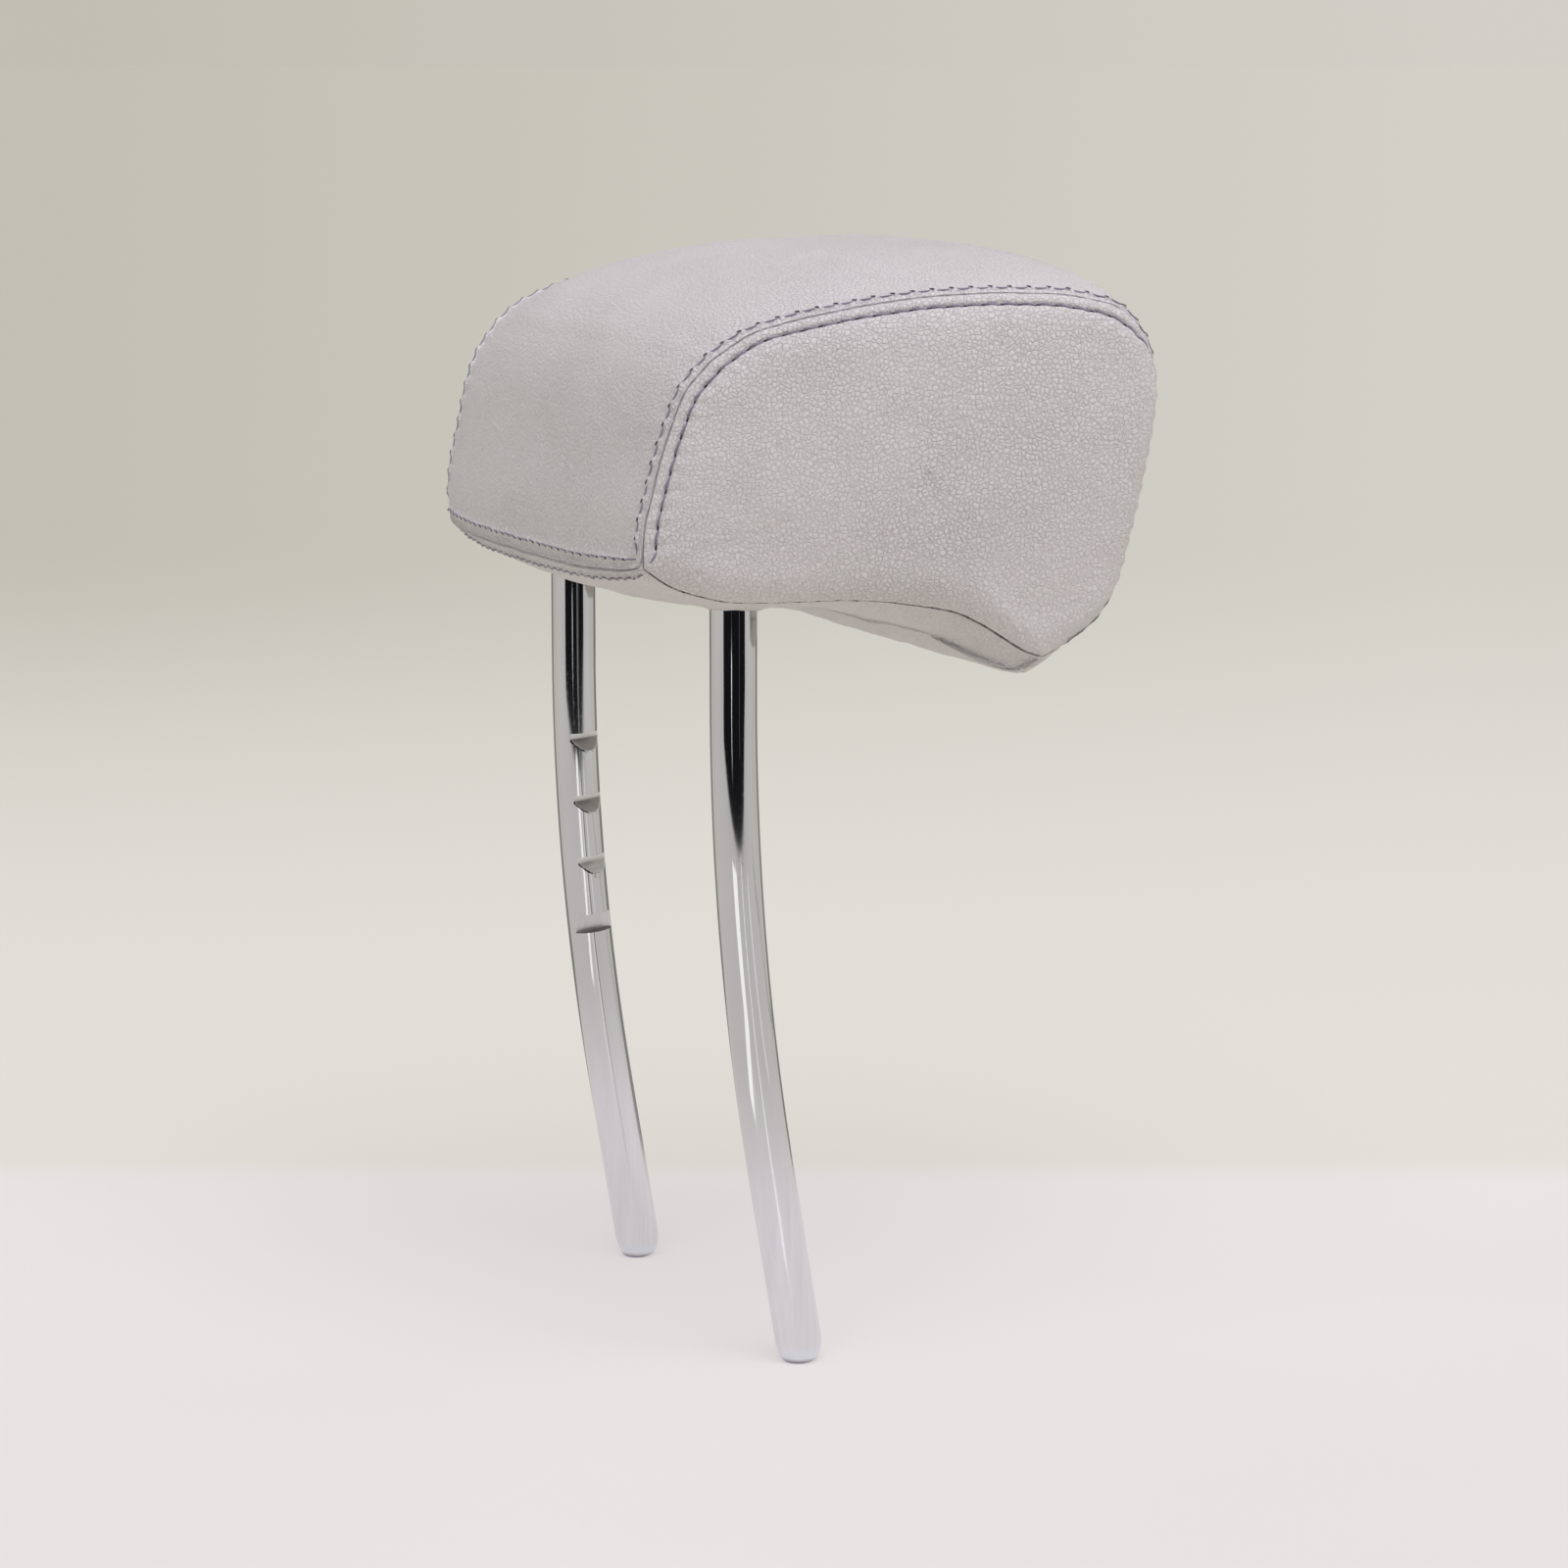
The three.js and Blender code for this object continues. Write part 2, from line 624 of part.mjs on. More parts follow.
// two hooked strips that close the cover below the carrier
function closureStrip() {
  const lipY = closureHookDepth / 2;
  const lipTop = closureHeight - closureWall - fitClearance;
  const profile = new THREE.Shape();
  profile.moveTo(-closureFlangeDepth, 0);
  profile.lineTo(lipY, 0);
  profile.lineTo(lipY, lipTop);
  profile.lineTo(lipY - closureWall, lipTop);
  profile.lineTo(lipY - closureWall, closureWall);
  profile.lineTo(-closureFlangeDepth, closureWall);
  profile.closePath();
  const strip = new THREE.ExtrudeGeometry(profile, { depth: closureLength, bevelEnabled: false });
  strip.translate(0, 0, -closureLength / 2);
  strip.rotateY(Math.PI / 2);
  strip.rotateX(Math.PI / 2);
  return strip;
}

const frontStrip = closureStrip();
frontStrip.translate(0, postTopY, closureLowZ);
addPiece('closure_strip_front', frontStrip, materials.plastic);

const rearStrip = closureStrip();
rearStrip.rotateX(Math.PI);
rearStrip.translate(0, postTopY, closureLowZ + closureHeight);
addPiece('closure_strip_rear', rearStrip, materials.plastic);

export default part;
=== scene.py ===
import math

import bmesh
import bpy
import numpy as np
from mathutils import Matrix, Vector


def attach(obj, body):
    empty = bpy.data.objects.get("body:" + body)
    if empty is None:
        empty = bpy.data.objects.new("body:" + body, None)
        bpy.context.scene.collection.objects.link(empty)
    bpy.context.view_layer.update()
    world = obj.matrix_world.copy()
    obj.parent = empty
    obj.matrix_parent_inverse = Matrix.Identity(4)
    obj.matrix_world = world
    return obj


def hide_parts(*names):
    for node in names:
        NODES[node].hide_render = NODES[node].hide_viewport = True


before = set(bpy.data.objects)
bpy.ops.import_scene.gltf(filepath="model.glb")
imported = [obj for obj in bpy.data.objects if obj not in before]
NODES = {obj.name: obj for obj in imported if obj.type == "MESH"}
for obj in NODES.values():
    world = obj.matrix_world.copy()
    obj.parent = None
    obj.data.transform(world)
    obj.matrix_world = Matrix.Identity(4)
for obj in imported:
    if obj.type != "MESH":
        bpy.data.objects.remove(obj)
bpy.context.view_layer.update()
MM = 0.001

# Sizes shared with the CAD model, in millimetres.
POST_RADIUS = 7.0
HALF_SPACING = 70.0
LOWER_LENGTH = 61.0
LOWER_TILT = math.radians(9.5)
BEND_LENGTH = 142.0
POST_SIDES = 112
STOP_HEIGHT = 111.4
STOP_BAND = 5.8
STOP_DEPTH = 4.2
FIRST_NOTCH_ABOVE_STOP = 23.0
NOTCH_PITCH = 20.1
NOTCH_COUNT = 3
NOTCH_DEPTH = 2.8
NOTCH_BAND = 1.8
NOTCH_RAMP = 4.0
NOTCH_TURN = math.radians(21)
PAD_FLOOR = 234.0
PAD_DEPTH = 148.5
PAD_HEIGHT = 89.0
PAD_BEHIND_POSTS = 35.2
LIP_DROP = 17.5
REAR_WIDTH = 186.0
FRONT_WIDTH = 242.0
BOTTOM_NARROWING = 5.0
CORNER_CROWN = 7.0
REAR_CROWN = 6.5
TOP_CROWN = 11.0
FRONT_CROWN = 14.0
LIP_CROWN = 18.0
LIP_SEAM_CROWN = 12.0
BELLY_FRONT_CROWN = 11.0
BELLY_CROWN = 7.0
BELLY_REAR_CROWN = 6.5
SIDE_CROWN = 8.0
FRONT_TUCK = 7.0
TUCK_ROLL = 9.0
TUCK_RUN = (0.6, 0.7, 0.94, 1.0)
CROSS_BAR_BEND = 28.0
COVER_THICKNESS = 2.5
FIT_CLEARANCE = 0.3
CROSS_BAR_RISE = 36.0
CROSS_BAR_Z = PAD_FLOOR + COVER_THICKNESS + FIT_CLEARANCE + CROSS_BAR_RISE
# What only the looks have: the rounded tips, the front lip's flatter underside (as a share of its crown)
# and its seam further under the pad, and the end stop's own turn.
TIP_FLAT = 3.7
TIP_ROUND = 7.6
LIP_FLATTER = 0.08
LIP_FLATTER_MIDDLE = 0.27
LIP_TURN_UNDER = 14.0
LIP_TURN_AT_CORNER = 7.0
LIP_TURN_LESS_IN_MIDDLE = 4.0
LIP_TURN_RUN = 60.0
STOP_TURN = math.radians(6)
WRAP_SHAPE = [
    (0, 0.118), (0.004, 0.265), (0.024, 0.418), (0.048, 0.572), (0.076, 0.688), (0.107, 0.755),
    (0.139, 0.806), (0.225, 0.887), (0.407, 0.956), (0.592, 0.993), (0.778, 0.993), (0.872, 0.969),
    (0.925, 0.936), (0.97, 0.865), (0.997, 0.794), (1.012, 0.669), (1, 0.467), (0.964, 0.154),
    (0.937, -0.011), (0.896, -0.486), (0.838, -0.794), (0.785, -1),
]
BOTTOM_SHAPE = [
    (0.785, -1), (0.751, -0.897), (0.703, -0.651), (0.656, -0.4), (0.609, -0.234), (0.514, -0.069),
    (0.422, -0.011), (0.329, 0), (0.236, 0), (0.162, 0.006), (0.106, 0.028), (0.051, 0.062), (0, 0.118),
]

# The double rows of stitches: how far each row runs from its seam, and the thread.
STITCH_PITCH = 5.6
STITCH_LENGTH = 5.2
THREAD_RADIUS = 0.38
SIDE_ROW = 3.9
WRAP_ROW = 2.95

BEND_RADIUS = BEND_LENGTH / LOWER_TILT
POST_TOP_Y = LOWER_LENGTH * math.sin(LOWER_TILT) + BEND_RADIUS * (1 - math.cos(LOWER_TILT))
BEND_TOP_Z = LOWER_LENGTH * math.cos(LOWER_TILT) + BEND_RADIUS * math.sin(LOWER_TILT)
PAD_REAR_Y = POST_TOP_Y + PAD_BEHIND_POSTS


def linked(name, data):
    obj = bpy.data.objects.new(name, data)
    bpy.context.scene.collection.objects.link(obj)
    return obj


def new_object(name, mesh, material, body="root"):
    obj = linked(name, mesh)
    if material is not None:
        obj.data.materials.append(material)
    if body:
        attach(obj, body)
    return obj


def mesh_from(name, verts, faces, smooth=True):
    mesh = bpy.data.meshes.new(name)
    mesh.from_pydata([tuple(v) for v in verts], [], [tuple(f) for f in faces])
    mesh.update()
    if smooth:
        mesh.polygons.foreach_set("use_smooth", [True] * len(mesh.polygons))
    return mesh


def unit(a):
    return a / np.maximum(np.linalg.norm(a, axis=-1, keepdims=True), 1e-12)


def smoothstep(x, low, high):
    f = np.clip((x - low) / (high - low), 0, 1)
    return f * f * (3 - 2 * f)


def gauss(d, width):
    return np.exp(-(d / width) ** 2)


def hash_noise(*values):
    total = np.zeros_like(np.asarray(values[0], float))
    for k, value in enumerate(values):
        total = total + np.asarray(value, float) * (12.9898 + 65.233 * k)
    out = np.sin(total) * 43758.5453
    return out - np.floor(out)


def value_noise(x, y, z):
    x, y, z = np.broadcast_arrays(x, y, z)
    xi, yi, zi = np.floor(x), np.floor(y), np.floor(z)
    xf, yf, zf = x - xi, y - yi, z - zi
    u, v, w = (t * t * (3 - 2 * t) for t in (xf, yf, zf))
    total = 0
    for dx in (0, 1):
        for dy in (0, 1):
            for dz in (0, 1):
                weight = (u if dx else 1 - u) * (v if dy else 1 - v) * (w if dz else 1 - w)
                total = total + weight * hash_noise(xi + dx, yi + dy, zi + dz)
    return total * 2 - 1


def spline_run(shape):
    pts = np.array([[PAD_REAR_Y - u * PAD_DEPTH, PAD_FLOOR + w * (LIP_DROP if w < 0 else PAD_HEIGHT)]
                    for u, w in shape])
    n = len(pts)
    out = []
    for t in np.linspace(0, 1, 1601):
        place = (n - 1) * t
        i = min(int(place), n - 1)
        w = place - i
        a, b = pts[max(i - 1, 0)], pts[i]
        c = pts[n - 1 if i > n - 2 else i + 1]
        d = pts[n - 1 if i > n - 3 else i + 2]
        v0, v1 = (c - a) / 2, (d - b) / 2
        out.append((2 * b - 2 * c + v0 + v1) * w ** 3 + (-3 * b + 3 * c - 2 * v0 - v1) * w ** 2 + v0 * w + b)
    out = np.array(out)
    length = np.r_[0, np.cumsum(np.linalg.norm(np.diff(out, axis=0), axis=1))]
    return out, length


WRAP_LINE, WRAP_LEN = spline_run(WRAP_SHAPE)
BOTTOM_LINE, BOTTOM_LEN = spline_run(BOTTOM_SHAPE)
WRAP_TOTAL, BOTTOM_TOTAL = WRAP_LEN[-1], BOTTOM_LEN[-1]
LOOP_TOTAL = WRAP_TOTAL + BOTTOM_TOTAL
WRAP_CROWNS = [CORNER_CROWN, REAR_CROWN, REAR_CROWN, (REAR_CROWN + TOP_CROWN) / 2, TOP_CROWN, TOP_CROWN,
               TOP_CROWN, (TOP_CROWN + FRONT_CROWN) / 2, FRONT_CROWN, FRONT_CROWN, FRONT_CROWN, LIP_CROWN,
               LIP_SEAM_CROWN]
BOTTOM_CROWNS = [LIP_SEAM_CROWN, BELLY_FRONT_CROWN, (BELLY_FRONT_CROWN + BELLY_CROWN) / 2, BELLY_CROWN,
                 BELLY_CROWN, BELLY_REAR_CROWN, CORNER_CROWN]


def loop_point(t):
    """Point of the side outline at arc length t, counted from the rear corner over the top."""
    t = np.mod(t, LOOP_TOTAL)
    on_wrap = t <= WRAP_TOTAL
    return np.stack([np.where(on_wrap, np.interp(t, WRAP_LEN, WRAP_LINE[:, k]),
                              np.interp(t - WRAP_TOTAL, BOTTOM_LEN, BOTTOM_LINE[:, k])) for k in (0, 1)], -1)


def loop_normal(t, reach=9.0):
    step = loop_point(t + reach) - loop_point(t - reach)
    return unit(np.stack([step[..., 1], -step[..., 0]], -1))


def eased(values, ratio):
    values = np.asarray(values, float)
    place = np.clip(ratio, 0, 1) * (len(values) - 1)
    low = np.minimum(place.astype(int), len(values) - 2)
    f = place - low
    f = f * f * (3 - 2 * f)
    return values[low] + (values[low + 1] - values[low]) * f


def crown_at(t):
    t = np.mod(t, LOOP_TOTAL)
    return np.where(t <= WRAP_TOTAL, eased(WRAP_CROWNS, t / WRAP_TOTAL),
                    eased(BOTTOM_CROWNS, (t - WRAP_TOTAL) / BOTTOM_TOTAL))


def half_width(y, z):
    forward = (PAD_REAR_Y - y) / PAD_DEPTH
    upward = np.clip((z - PAD_FLOOR) / PAD_HEIGHT, 0, 1)
    return (REAR_WIDTH + (FRONT_WIDTH - REAR_WIDTH) * forward) / 2 - BOTTOM_NARROWING * (1 - upward)


def tuck_at(t):
    """How far inboard of the side's own line the seam lies, at outline length t."""
    ratio = np.mod(t, LOOP_TOTAL) / WRAP_TOTAL
    return FRONT_TUCK * smoothstep(ratio, *TUCK_RUN[:2]) * (1 - smoothstep(ratio, *TUCK_RUN[2:]))


def near_lip(t):
    past = np.mod(t, LOOP_TOTAL) - WRAP_TOTAL
    return smoothstep(past, -14, 3) * (1 - smoothstep(past, 3, 55))


def crown_profile(t, v):
    """Share of the crown at place v: full early on the lip, which is straight across the seat."""
    past = np.mod(t, LOOP_TOTAL) - WRAP_TOTAL
    flatter = LIP_FLATTER + LIP_FLATTER_MIDDLE * (1 - smoothstep(np.abs(v), 0.62, 0.91))
    flatter = flatter * smoothstep(past, -60, -20) * (1 - smoothstep(past, 15, 50))
    return (1 - np.abs(v) ** (3 + 5 * near_lip(t))) ** 0.8 * (1 - flatter)


def wander(p):
    """Small sideways drift of the sewn edges, the same for both panels that meet there."""
    drift, length = 0.28, 11
    x, y, z = p[..., 0] / length, p[..., 1] / length, p[..., 2] / length
    return drift * np.stack([value_noise(x + 3.3, y, z), value_noise(x, y + 7.7, z),
                             value_noise(x, y, z + 1.9)], -1)


def band_surface(t, v):
    """Points of the band round the pad, for outline lengths t and places v across it."""
    p, n, c = loop_point(t), loop_normal(t), crown_at(t)
    lift = c * crown_profile(t, v)
    hw = half_width(p[..., 0], p[..., 1]) - tuck_at(t)
    return np.stack([v * hw, p[..., 0] + n[..., 0] * lift, p[..., 1] + n[..., 1] * lift], -1)


# Distances from a seam at which the fine mesh has its rows, and its row spacing elsewhere.
EDGE = [0, 0.2, 0.4, 0.65, 0.95, 1.3, 1.7, 2.15, 2.6, 2.95, 3.3, 3.65, 4.0, 4.45, 5.0, 5.7, 6.6, 7.8, 9.3,
        11.2, 13.5]
MESH_STEP = 1.0
# The plain raster that evens out the side panels, and the width of its blur.
RASTER = 2.0
BLUR = 15.0
BLUR_CELLS = 18


def grid_normals(points):
    du = np.gradient(points, axis=0)
    dv = np.gradient(points, axis=1)
    return unit(np.cross(dv, du))


def seam_relief(d, along, row, sewn=1.0, phase=0.0):
    """Height of the leather beside a seam, at distance d from it and arc length along it."""
    turn = 2 * np.pi * (along + phase) / STITCH_PITCH
    beat = np.cos(turn)
    # the seam's own line, the band between it and the row, and the dip under the row's stitches
    groove = -(1.15 + 0.35 * np.sin(along * 0.9) * np.sin(along * 0.37 + 2)) * gauss(d, 0.27)
    swell = 0.34 + 0.12 * beat + 0.06 * np.sin(turn * 0.37 + 1.0)
    band = swell * np.sin(np.pi * np.clip(d / row, 0, 1)) ** 0.7 * sewn
    dip = -(0.66 - 0.26 * beat) * gauss(d - row, 0.60) * sewn
    # beyond the row the stuffing rises, with a pucker for each stitch
    past = np.clip(d - row, 0, None)
    shoulder = 0.75 * (1 - np.exp(-past / 2.2)) * np.exp(-past / 26) * sewn
    pucker = (0.24 * beat + 0.08 * np.sin(turn * 0.23)) * gauss(d - row - 1.8, 1.9) * sewn
    plain = (0.42 + 0.10 * beat) * (1 - np.exp(-d / 1.3)) * np.exp(-d / 30) * (1 - sewn)
    return groove + band + dip + shoulder + pucker + plain


def undulation(p):
    """Slow unevenness of the stuffing, in millimetres."""
    x, y, z = p[..., 0], p[..., 1], p[..., 2]
    big = value_noise(x / 46 + 3.1, y / 38 + 1.7, z / 34 + 5.2)
    small = value_noise(x / 17 + 8.3, y / 15 + 2.9, z / 15 + 0.4)
    return 0.5 * big + 0.14 * small


def steps_between(total, middle):
    """Distances from 0 to total, close together near both ends."""
    count = max(int((total - 2 * EDGE[-1]) / middle), 2)
    inner = np.linspace(EDGE[-1], total - EDGE[-1], count + 1)[1:-1]
    return np.r_[EDGE, inner, (total - np.array(EDGE))[::-1]]


def band_columns(t, half_steps):
    """Columns of a band row by row, at set surface distances from both side seams."""
    q = np.linspace(0, 1, 901)
    v_table = 1 - q ** 2
    p, c = loop_point(t), crown_at(t)
    hw = half_width(p[:, 0], p[:, 1]) - tuck_at(t)
    v_rows, d_rows = [], []
    for i in range(len(t)):
        lift = c[i] * crown_profile(t[i], v_table)
        s = np.r_[0, np.cumsum(np.hypot(np.diff(v_table * hw[i]), np.diff(lift)))]
        inner = np.linspace(EDGE[-1], s[-1], half_steps + 1)[1:]
        dist = np.r_[EDGE, inner]
        v_half = np.interp(dist, s, v_table)
        v_rows.append(np.r_[-v_half, v_half[-2::-1]])
        d_rows.append(np.r_[dist, dist[-2::-1]])
    return np.array(v_rows), np.array(d_rows)


def lip_shift(v, t):
    """The front lip's seam lies further under the pad in the middle than at its ends."""
    inboard = 1 - np.abs(v)
    reach = LIP_TURN_AT_CORNER * (1 - np.abs(v) ** 10) + LIP_TURN_UNDER * smoothstep(inboard, 0.07, 0.21)
    reach = reach - LIP_TURN_LESS_IN_MIDDLE * smoothstep(inboard, 0.5, 0.8)
    before = np.clip((t - (WRAP_TOTAL - LIP_TURN_RUN)) / LIP_TURN_RUN, 0, 1)
    after = np.clip((WRAP_TOTAL + LIP_TURN_RUN - t) / LIP_TURN_RUN, 0, 1)
    return reach * np.where(t <= WRAP_TOTAL, before, after)


def smooth_min(a, b, k=5.0):
    h = np.clip(k - np.abs(a - b), 0, None) / k
    return np.minimum(a, b) - h * h * k / 4


def seam_pull(points, normals, d, seam_dir):
    """Normals that turn to the seam's own direction near it, so that neighbours meet."""
    w = gauss(d, 1.1)[..., None]
    return unit(normals * (1 - w) + seam_dir * w)


def side_seam_dir(t, sign):
    sideways, outward = 0.75, 0.66
    n = loop_normal(t)
    return unit(np.stack([np.broadcast_to(sign * sideways, n[..., 0].shape), n[..., 0] * outward,
                          n[..., 1] * outward], -1))


def edge_dirs(tt, v, at_side):
    """The way the seams sink: between both panels at the sides, along the outline's normal at the ends."""
    n = loop_normal(tt)
    at_end = np.stack([np.zeros_like(v), n[..., 0], n[..., 1]], -1)
    return np.where(at_side[..., None], side_seam_dir(tt, np.sign(v)), at_end)


def lip_crease(d, v):
    """The lip's seam is drawn in deep beside the two lower corners."""
    depth, width = 2.1, 1.7
    at_corner = smoothstep(np.abs(v), 0.66, 0.84) * (1 - smoothstep(np.abs(v), 0.97, 1.0))
    return depth * gauss(d, width) * at_corner


def wrap_row(d_lip):
    """Distance of the wrap's row from the side seam; it runs into the seam at the lip."""
    return WRAP_ROW * (0.3 + 0.7 * smoothstep(d_lip, 2, 12))


def side_row(t):
    """The same for the side panel's row, which runs into the seam at both ends; and its share."""
    taper = smoothstep(t, 0, 3) * smoothstep(WRAP_TOTAL - t, 4, 14)
    return SIDE_ROW * (0.35 + 0.65 * taper), taper


def wrap_grid():
    t = steps_between(WRAP_TOTAL, MESH_STEP)
    v, d_side = band_columns(t, 50)
    tt = np.broadcast_to(t[:, None], v.shape)
    d_rear, d_lip = tt, WRAP_TOTAL - tt
    tt = tt + lip_shift(v, tt)
    pts = band_surface(tt, v)
    normals = grid_normals(pts)
    d_sew = smooth_min(d_side, d_rear)
    along = np.where(d_side < d_rear, tt, pts[..., 0])
    taper = smoothstep(d_lip, 2, 12)
    relief = seam_relief(d_sew, along, wrap_row(d_lip), taper)
    relief = relief + seam_relief(d_lip, pts[..., 0], WRAP_ROW, 0.0) * (1 - gauss(d_side, 2))
    near = np.minimum(d_sew, d_lip)
    relief = relief + undulation(pts) * (1 - gauss(near, 10))
    relief = relief + PUFF.on_band(tt, v) * smoothstep(d_lip, 10, 50) - lip_crease(d_lip, v)
    at_side = d_side < np.minimum(d_rear, d_lip)
    return t, v, d_side, pts + wander(pts), seam_pull(pts, normals, near, edge_dirs(tt, v, at_side)), relief


def bottom_grid():
    t = WRAP_TOTAL + steps_between(BOTTOM_TOTAL, MESH_STEP)
    v, d_side = band_columns(t, 46)
    tt = np.broadcast_to(t[:, None], v.shape)
    d_lip, d_rear = tt - WRAP_TOTAL, LOOP_TOTAL - tt
    tt = tt + lip_shift(v, tt)
    pts = band_surface(tt, v)
    normals = grid_normals(pts)
    relief = seam_relief(d_side, tt, WRAP_ROW, 0.0)
    off_side = 1 - gauss(d_side, 2)
    relief = relief + seam_relief(d_lip, pts[..., 0], WRAP_ROW, 0.0) * off_side
    relief = relief + seam_relief(d_rear, pts[..., 0], WRAP_ROW, smoothstep(d_side, 1, 9)) * off_side
    near = np.minimum(np.minimum(d_lip, d_rear), d_side)
    # the leather is drawn in a little round the posts, and closes in a line between them
    ahead = pts[..., 1] - POST_TOP_Y
    for sx in (-1, 1):
        dist = np.hypot(pts[..., 0] - sx * HALF_SPACING, ahead) - POST_RADIUS
        relief = relief - 0.9 * gauss(np.clip(dist, 0, None), 2.0)
    between = 1 / (1 + np.exp((np.abs(pts[..., 0]) - HALF_SPACING + 6) / 1.5))
    relief = relief - 1.1 * gauss(ahead, 0.7) * between + 0.35 * gauss(np.abs(ahead) - 3, 1.8) * between
    relief = relief + undulation(pts) * (1 - gauss(near, 10))
    relief = relief + PUFF.on_band(tt, v) * smoothstep(d_lip, 5, 40) - lip_crease(d_lip, v)
    at_side = d_side < np.minimum(d_lip, d_rear)
    return t, v, d_side, pts + wander(pts), seam_pull(pts, normals, near, edge_dirs(tt, v, at_side)), relief


LOOP_CENTRE = loop_point(np.linspace(0, LOOP_TOTAL, 720, endpoint=False)).mean(0)


def dome_x(yz, r, t, from_seam):
    """Distance of the side panel from the middle plane."""
    shy = 1 - np.clip(from_seam / TUCK_ROLL, 0, 1)
    tucked = tuck_at(t) * (1 - np.sqrt(np.clip(1 - shy * shy, 0, 1)))
    return half_width(yz[..., 0], yz[..., 1]) + SIDE_CROWN * (1 - r ** 3) ** 0.6 - tucked


def spokes_at(t):
    """Spokes from the side's centre to its outline, their lengths, and how far out each reaches squarely."""
    spoke = loop_point(t) - LOOP_CENTRE
    length = np.linalg.norm(spoke, axis=1)
    return spoke, length, np.maximum((spoke * loop_normal(t)).sum(1), length / 3)


def side_field(sign):
    """The side panel's distance from the middle plane on a plain raster, evened out by a blur."""
    margin = 12
    ys = np.arange(PAD_REAR_Y - PAD_DEPTH - margin, PAD_REAR_Y + margin, RASTER)
    zs = np.arange(PAD_FLOOR - LIP_DROP - margin, PAD_FLOOR + PAD_HEIGHT + margin, RASTER)
    yz = np.stack(np.meshgrid(ys, zs, indexing="ij"), -1)
    t = np.linspace(0, LOOP_TOTAL, 1440, endpoint=False)
    spoke, length, support = spokes_at(t)
    angle = np.arctan2(spoke[:, 1], spoke[:, 0])
    order = np.argsort(angle)
    out = yz - LOOP_CENTRE
    place = np.searchsorted(angle[order], np.arctan2(out[..., 1], out[..., 0])) % len(t)
    at = order[place]
    r = np.linalg.norm(out, axis=-1) / length[at]
    inside = (r <= 1).astype(float)
    r = np.minimum(r, 1)
    x = dome_x(yz, r, t[at], (1 - r) * support[at]) + PUFF.on_side(sign, t[at], r)
    kernel = gauss(np.arange(-BLUR_CELLS, BLUR_CELLS + 1) * RASTER, BLUR)
    for axis in (0, 1):
        total, weight = (np.apply_along_axis(np.convolve, axis, part, kernel, "same")
                         for part in (x * inside, inside))
        x, inside = total / np.maximum(weight, 1e-9), (weight > 0.5).astype(float)
    return ys[0], zs[0], x


def side_x(field, yz):
    """Reads that raster between its points."""
    y0, z0, x = field
    a, b = (yz[..., 0] - y0) / RASTER, (yz[..., 1] - z0) / RASTER
    i, j = a.astype(int), b.astype(int)
    f, g = a - i, b - j
    return ((x[i, j] * (1 - g) + x[i, j + 1] * g) * (1 - f)
            + (x[i + 1, j] * (1 - g) + x[i + 1, j + 1] * g) * f)


def dome_grid(sign):
    """Rings of the side panel from its seam inwards, at set surface distances from the seam."""
    count = int(LOOP_TOTAL / (1.05 * MESH_STEP))
    t = np.linspace(0, LOOP_TOTAL, count, endpoint=False)
    spoke, _, support = spokes_at(t)
    innermost = 0.012
    r_table = 1 - np.linspace(0, 1, 901) ** 2 * (1 - innermost)
    inner_rows = 40
    rings, dists = [], []
    for i in range(len(t)):
        yz = LOOP_CENTRE + r_table[:, None] * spoke[i]
        x = dome_x(yz, r_table, t[i], (1 - r_table) * support[i])
        step = np.hypot(np.abs(np.diff(r_table)) * support[i], np.diff(x))
        s = np.r_[0, np.cumsum(step)]
        inner = EDGE[-1] + (s[-1] - EDGE[-1]) * np.linspace(0, 1, inner_rows + 1)[1:]
        dist = np.r_[EDGE, inner]
        rings.append(np.interp(dist, s, r_table))
        dists.append(dist)
    r, d = np.array(rings).T, np.array(dists).T
    yz = LOOP_CENTRE + r[..., None] * spoke[None]
    tt = np.broadcast_to(t[None, :], d.shape)
    x = dome_x(yz, r, tt, (1 - r) * support[None]) + PUFF.on_side(sign, tt, r)
    inward = smoothstep(d, 3, 16)
    x = x * (1 - inward) + side_x(side_field(sign), yz) * inward
    pts = np.stack([sign * x, yz[..., 0], yz[..., 1]], -1)
    wrapped = np.concatenate([pts[:, -3:], pts, pts[:, :3]], axis=1)
    normals = grid_normals(wrapped)[:, 3:-3]
    normals = normals * np.sign((normals[..., 0] * sign).mean())
    row, taper = side_row(tt)
    relief = seam_relief(d, tt, row, taper, STITCH_PITCH / 2)
    relief = relief + undulation(pts) * (1 - gauss(d, 10))
    return t, r, d, pts + wander(pts), seam_pull(pts, normals, d, side_seam_dir(tt, float(sign))), relief


